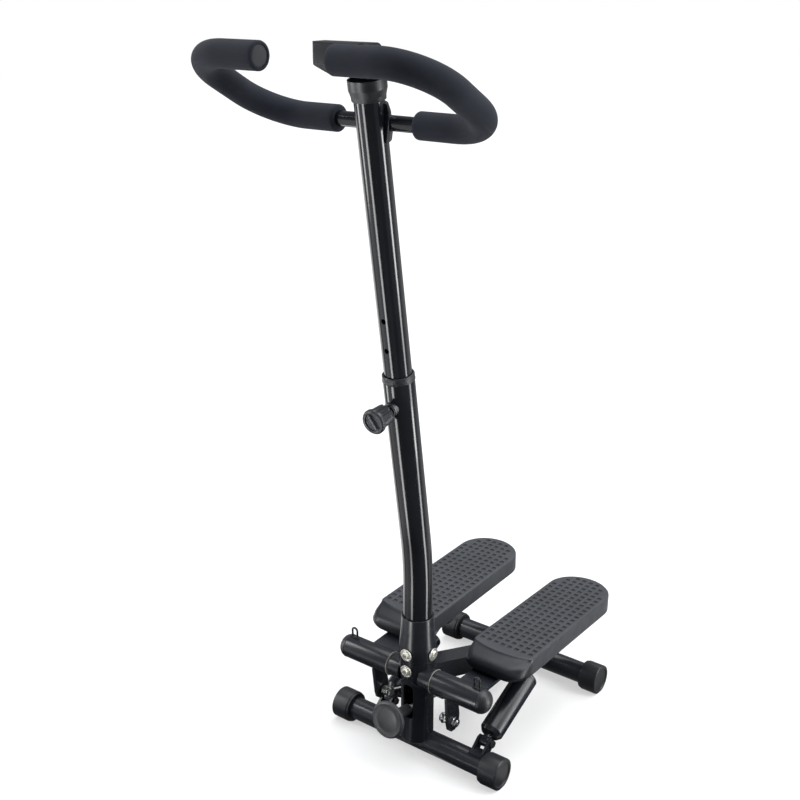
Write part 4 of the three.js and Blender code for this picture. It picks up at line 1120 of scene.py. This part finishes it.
def pedal_arm(sign):
    """A flat neck from the sleeve that rises under the tread into a channel, with two lugs."""
    half = ARM_W / 2
    side_view = rounded([
        (PIVOT_Y, ARM_LOW), (PIVOT_Y, ARM_NECK_TOP), (108, ARM_NECK_TOP), (132, ARM_TOP),
        (300, ARM_TOP), (300, ARM_LOW)], [0, 0, 8, 8, 1, 1], 5, closed=True)
    x = sign * PEDAL_X
    body = prism(side_view, (x - half, 0, 0), Y, Z, ARM_W)
    plan = [(x + sign * u, v) for u, v in (
        (-half, PIVOT_Y - 9), (ARM_NECK, PIVOT_Y - 9), (ARM_NECK, 100), (half, 124),
        (half, 301), (-half, 301))]
    body = carve(body, prism(plan, (0, 0, ARM_LOW - 5), X, Y, 40), keep_common=True)
    hollow = box_shape((x - half + ARM_STEEL, 140, ARM_LOW - 1),
                       (x + half - ARM_STEEL, 302, ARM_TOP - ARM_STEEL))
    bore = rod(Vector(PIVOT) - X * 200, Vector(PIVOT) + X * 200, SLEEVE_R - 0.3, 96, 0.01)
    body = carve(body, hollow, bore)
    head_y, head_z = CYLINDER_HEAD
    lug = rounded([(head_y - 18, ARM_TOP - 2), (head_y - 10, head_z - 9), (head_y + 10, head_z - 9),
                   (head_y + 18, ARM_TOP - 2)], [0, 8, 8, 0], 6, closed=True)
    middle = x + CYLINDER_SHIFT
    hole = rod((middle - 20, head_y, head_z), (middle + 20, head_y, head_z), LINK_PIN_R + 0.1,
               32, 0.01)
    for start in (-11, 8):
        body += carve(prism(lug, (middle + start, 0, 0), Y, Z, 3), hole)
    return body


def wire_path(points):
    """A smooth path through corner points, measured by the points' own count."""
    def at(s):
        i = min(int(s), len(points) - 2)
        here = points[i].lerp(points[i + 1], s - i)
        before = points[max(0, i - 1 if s == i else i)]
        after = points[min(len(points) - 1, i + 1)]
        return here, (after - before).normalized()
    return at


def band_eyelet(sign):
    """A bent wire loop on a small welded foot."""
    x = sign * BAND_LOOP_X
    half, foot = 5.2, PIVOT_Z + SLEEVE_R
    top = foot + 19
    arch = [Vector((x - half * math.cos(a), PIVOT_Y, top - half + half * math.sin(a)))
            for a in (math.pi * k / 16 for k in range(17))]
    points = [Vector((x - half, PIVOT_Y, foot + 0.6)), *arch,
              Vector((x + half, PIVOT_Y, foot + 0.6))]
    wire = tube(wire_path(points), [(k, 1.8) for k in range(len(points))], Y, 20)
    return wire + prism(rectangle(-8, 8, -3, 3, 2.4), (x, PIVOT_Y, foot + 0.2), X, Y, 2.4)


for side, sign in SIDES:
    body, turn = f"{side}_pedal", rock_matrix(sign)
    piece(f"{side}_sleeve", pivot_sleeve(sign), FRAME_PAINT, body, f"{side}_pivot_sleeve")
    piece(f"{side}_bush_line", inner_bush(sign), CREAM_BUSH, body, f"{side}_inner_bush")
    piece(f"{side}_sleeve_cap", sleeve_cap(sign), BLACK_PLASTIC, body, f"{side}_outer_bush")
    piece(f"{side}_wire_loop", band_eyelet(sign).moved(turn), DARK_WIRE, body,
          f"{side}_band_eyelet", soft=(0.0005, 2, 40))
    piece(f"{side}_arm", pedal_arm(sign).moved(turn), FRAME_PAINT, body, f"{side}_pedal_arm",
          soft=(0.0009, 2, 35))
    kept(f"{side}_cable_lever", FRAME_PAINT, 0.0009)
    kept(f"{side}_link_pin", ZINC, 0.0005)
kept("pivot_axle", STEEL)


# ---- cable bolts and eyes
def flat_washer(origin, axis, bore, radius, start, thick):
    return flat_ring(bore, radius, start, start + thick, [0, 0.35, 0.5, 0], origin, axis)


def hex_part(origin, axis, across, start, depth, turn=0.3):
    """A hexagonal head or nut whose corners are turned off to a cone at its outer face."""
    side, up, along = axis_frame(axis)
    blank = prism(hexagon(across, turn), Vector(origin) + along * start, side, up, depth)
    crown = turned([(0, start - 1), (across * 0.6, start - 1), (across * 0.6, start + depth * 0.75),
                    (across * 0.47, start + depth + 0.01), (0, start + depth + 0.01)],
                   origin, axis, 48)
    return carve(blank, crown, keep_common=True)


def cable_bolt(sign):
    """Head and washers on the inner side, spacer tube, and a nut with a bare thread end outside."""
    at, axis = (0, CABLE_BOLT_Y, MECH_Z), X * sign
    parts = rod((sign * 55, *at[1:]), (sign * 86, *at[1:]), 4, 32, 0.8)
    parts += hex_part(at, -axis, 13, -57.2, 5.2)
    outside = LEVER_X + 3.2
    for bore, radius, start, thick in (
            (4, 9.5, 57.3, 1.4), (4, 8.2, 58.9, 1.2), (4, 9, outside, 1.5)):
        parts += flat_washer(at, axis, bore, radius, start, thick)
    parts += hex_part(at, axis, 13, outside + 1.6, 5.6, 0.1)
    for step in range(3):
        parts += flat_washer(at, axis, 3, 4.35, 84.2 + step * 0.9, 0.5)
    return parts


for side, sign in SIDES:
    piece(f"{side}_cable_bolt_set", cable_bolt(sign).moved(rock_matrix(sign)), CHROME,
          f"{side}_pedal", f"{side}_cable_bolt", sharp=30)
    kept(f"{side}_cable_eye", ZINC)


# ---- hydraulic cylinders
def cylinder_axis(sign):
    """The foot pivot, the top pivot, and the direction between them."""
    x = sign * PEDAL_X + CYLINDER_SHIFT
    foot = Vector((x, *CYLINDER_FOOT))
    head = rock_matrix(sign) @ Vector((x, *CYLINDER_HEAD))
    return foot, head, (head - foot).normalized()


def eye(centre, radius, half, bore):
    return flat_ring(bore, radius, -half, half, [0, 1, 1, 0], centre, X)


def cylinder_body(sign):
    """A glossy tube with rolled ends, a seal groove, and the eye it hangs on."""
    foot, _, along = cylinder_axis(sign)
    start, end, r = CYLINDER_START, CYLINDER_END + 7, CYLINDER_R + 1.7
    hull = closed_turn([
        (ROD_R + 0.2, end - 14), (ROD_R + 0.2, end + 0.6), (ROD_R + 4, end + 0.6),
        (ROD_R + 4.6, end - 0.8), (r - 2.6, end - 0.8), (r, end - 3.6), (r, start + 6.4),
        (r - 4.6, start), (0, start), (0, start + 8), (r - 3, start + 8), (r - 3, end - 14)],
        [0, 0.3, 0.5, 0.3, 1.6, 3, 2.2, 1.6, 0, 0, 0, 0], foot, along, 128, 6)
    groove_tool = flat_ring(r - 0.7, r + 3, end - 9, end - 8.1, 0, foot, along, 96)
    neck = rod(foot + along * 6, foot + along * (start + 1), 6, 48, 0.3)
    return carve(hull, groove_tool) + neck + eye(foot, 9, 7, LINK_PIN_R + 0.1)


def piston_rod(sign):
    foot, head, along = cylinder_axis(sign)
    length = (head - foot).length
    shaft = rod(foot + along * 84, head - along * 10, ROD_R, 48, 0.5)
    piston = flat_ring(ROD_R - 1, ROD_R + 3, 84, 90, 0, foot, along, 48)
    neck = flat_ring(ROD_R - 1, ROD_R + 1.6, length - 17, length - 10, [0, 0.6, 0, 0], foot,
                     along, 48, 5)
    return shaft + piston + neck + eye(head, 11.5, 6, LINK_PIN_R + EYE_ROOM)


for side, sign in SIDES:
    piece(f"{side}_damper", cylinder_body(sign), FRAME_PAINT, f"{side}_cylinder",
          f"{side}_cylinder")
    piece(f"{side}_piston_rod", piston_rod(sign), STEEL, f"{side}_rod", f"{side}_cylinder_rod",
          slot="chrome")
    kept(f"{side}_cylinder_foot", FRAME_PAINT, 0.0009)
    kept(f"{side}_foot_pin", STEEL, 0.0007)


# ---- cable, pulley and adjuster
slope = math.radians(MECH_TILT)
slope_back = Vector((0, math.cos(slope), -math.sin(slope)))
slope_up = Vector((0, math.sin(slope), math.cos(slope)))


def on_slope(x, back, up=0.0):
    return Vector((x, CABLE_BOLT_Y, MECH_Z)) + slope_back * back + slope_up * up


PULLEY_BACK = (PULLEY_Y - CABLE_BOLT_Y) / math.cos(slope)
GROOVE_R = PULLEY_R - 3
WRAP_R = GROOVE_R + CABLE_R - 0.6
CABLE_LEAN = (math.atan2(CABLE_BOLT_X, PULLEY_BACK)
              - math.asin(WRAP_R / math.hypot(CABLE_BOLT_X, PULLEY_BACK)))
FERRULE_END = 14
FIXED_FROM = 60                 # where the fixed stretch of the cable starts, from each bolt


def cable_run(sign, distance):
    return on_slope(sign * (CABLE_BOLT_X - distance * math.sin(CABLE_LEAN)),
                    distance * math.cos(CABLE_LEAN))


def strand_tube(points, radius=CABLE_R, strands=6, sides=30, lay=26.0):
    """A wire rope: its outline shows the outer strands, which wind along it."""
    rings = []
    run = 0.0
    for i, point in enumerate(points):
        after = points[min(i + 1, len(points) - 1)]
        before = points[max(i - 1, 0)]
        run += (point - before).length
        tangent = (after - before).normalized()
        across = slope_up.cross(tangent).normalized()
        twist = 2 * math.pi * run / lay
        ring = []
        for angle in circle(sides):
            reach = radius * (0.9 + 0.1 * abs(math.cos(strands * (angle - twist) / 2)))
            ring.append(point + (across * math.cos(angle) + slope_up * math.sin(angle)) * reach)
        rings.append(ring)
    return loft(rings)


def between(a, b, count):
    return [a.lerp(b, k / count) for k in range(count + 1)]


def cable_loop():
    """The fixed stretch, from near one lever, round the pulley, to near the other."""
    arc = [on_slope(WRAP_R * math.cos(a), PULLEY_BACK + WRAP_R * math.sin(a))
           for a in (math.pi - CABLE_LEAN + (2 * CABLE_LEAN - math.pi) * k / 48
                     for k in range(49))]
    left = between(cable_run(-1, FIXED_FROM), arc[0], 24)
    right = between(arc[-1], cable_run(1, FIXED_FROM), 24)
    return strand_tube([*left, *arc[1:-1], *right])


def cable_end(sign):
    """The short end that swings with the bolt on its lever."""
    start, end = cable_run(sign, FERRULE_END), cable_run(sign, FIXED_FROM + 0.5)
    return strand_tube(between(start, end, 30))


def cable_pulley():
    groove = GROOVE_R - 1
    return closed_turn([
        (4.3, -6), (9, -6), (10, -5), (PULLEY_R - 5, -5), (PULLEY_R - 4, -6), (PULLEY_R, -6),
        (PULLEY_R, -4.4), (groove, -1.8), (groove, 1.8), (PULLEY_R, 4.4), (PULLEY_R, 6),
        (PULLEY_R - 4, 6), (PULLEY_R - 5, 5), (10, 5), (9, 6), (4.3, 6)],
        [0, 0.5, 0.5, 0.5, 0.5, 0.8, 0.5, 1.6, 1.6, 0.5, 0.8, 0.5, 0.5, 0.5, 0.5, 0],
        on_slope(0, PULLEY_BACK), slope_up, 96)


def adjuster_knob():
    """A wide knob with a rolled rim round a shallow dish and a button in the middle."""
    face = (CABLE_BOLT_Y - ADJUSTER_Y) / math.cos(slope)
    r = ADJUSTER_R
    outline = rounded([
        (0, 24), (9, 24), (9, face - 21), (11.5, face - 15), (r - 5, face - 11.5),
        (r, face - 8), (r, face - 2.4), (r - 3.4, face), (r - 6, face - 0.9), (20, face - 1.5),
        (0, face + 1.5)], [0, 1, 4, 3, 3, 3.2, 3, 1.8, 2, 8, 0], 6)
    return turned(outline, on_slope(0, 0), -slope_back, 128)


def adjuster_screw():
    """The knob's screw with its thread, through the upright and into the yoke."""
    start, end, pitch, r = -(PULLEY_BACK - PULLEY_R - 4.5), 25.0, 1.5, 5.0
    outline = [(0, start), (r - 1, start)]
    count = int((end - start - 1) / pitch)
    for step in range(count):
        low = start + 0.8 + step * pitch
        outline += [(r - 0.7, low), (r, low + pitch * 0.4), (r, low + pitch * 0.55)]
    outline += [(r - 0.7, end), (0, end)]
    return turned([Vector(p) for p in outline], on_slope(0, 0), -slope_back, 40)


piece("cable_wheel", cable_pulley(), NYLON, "pulley", "cable_pulley")
kept("pulley_pin", STEEL)
kept("pulley_yoke", ZINC, 0.0008)
piece("cable_loop", cable_loop(), CABLE_WIRE, "frame", "pedal_cable", sharp=60)
for side, sign in SIDES:
    end = piece(f"{side}_cable_end", cable_end(sign), CABLE_WIRE, None, "pedal_cable", sharp=60)
    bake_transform(end)
piece("adjuster_disc", adjuster_knob(), DISC_GREY, "adjuster", "adjuster_knob")
piece("adjuster_screw", adjuster_screw(), ZINC, "adjuster", "adjuster_knob", sharp=30)


# ---- welds and small fittings
def boss_weld(sign):
    """Where the axle boss leaves the round upright, the bead follows the curve of both."""
    r = 18.8

    def slide(angle):
        side, up, _ = axis_frame(X * sign)
        out = side * math.cos(angle) + up * math.sin(angle)
        offset = PIVOT_Y + out.y * r - UPRIGHT_Y
        return math.sqrt(max(0.0, (UPRIGHT_BULGE_R - 1.5) ** 2 - offset ** 2))

    return weld_ring(PIVOT, X * sign, r, 1.6, depth=slide)


def tube_weld(y, half):
    """A bead along the rear tube, on each side of the beam's end."""
    made, r = Shape(), TUBE_R + 0.4
    for x in (-half, half):
        points = [Vector((x, y + r * math.cos(a), AXIS_Z + r * math.sin(a)))
                  for a in (math.pi * (0.5 + 0.5 * k / 40) for k in range(41))]
        sizes = [(k, 1.5 * (1 + 0.12 * math.sin(k * 2.1))) for k in range(len(points))]
        made += tube(wire_path(points), sizes, X, 12)
    return made


welds = boss_weld(1) + boss_weld(-1)
welds += tube_weld(BASE_D, BEAM_W / 2)
welds += weld_ring((0, UPRIGHT_Y, 0), Z, UPRIGHT_R + 0.2, 1.5, depth=lambda a: 31.5)
piece("weld_beads", welds, FRAME_PAINT, "frame")
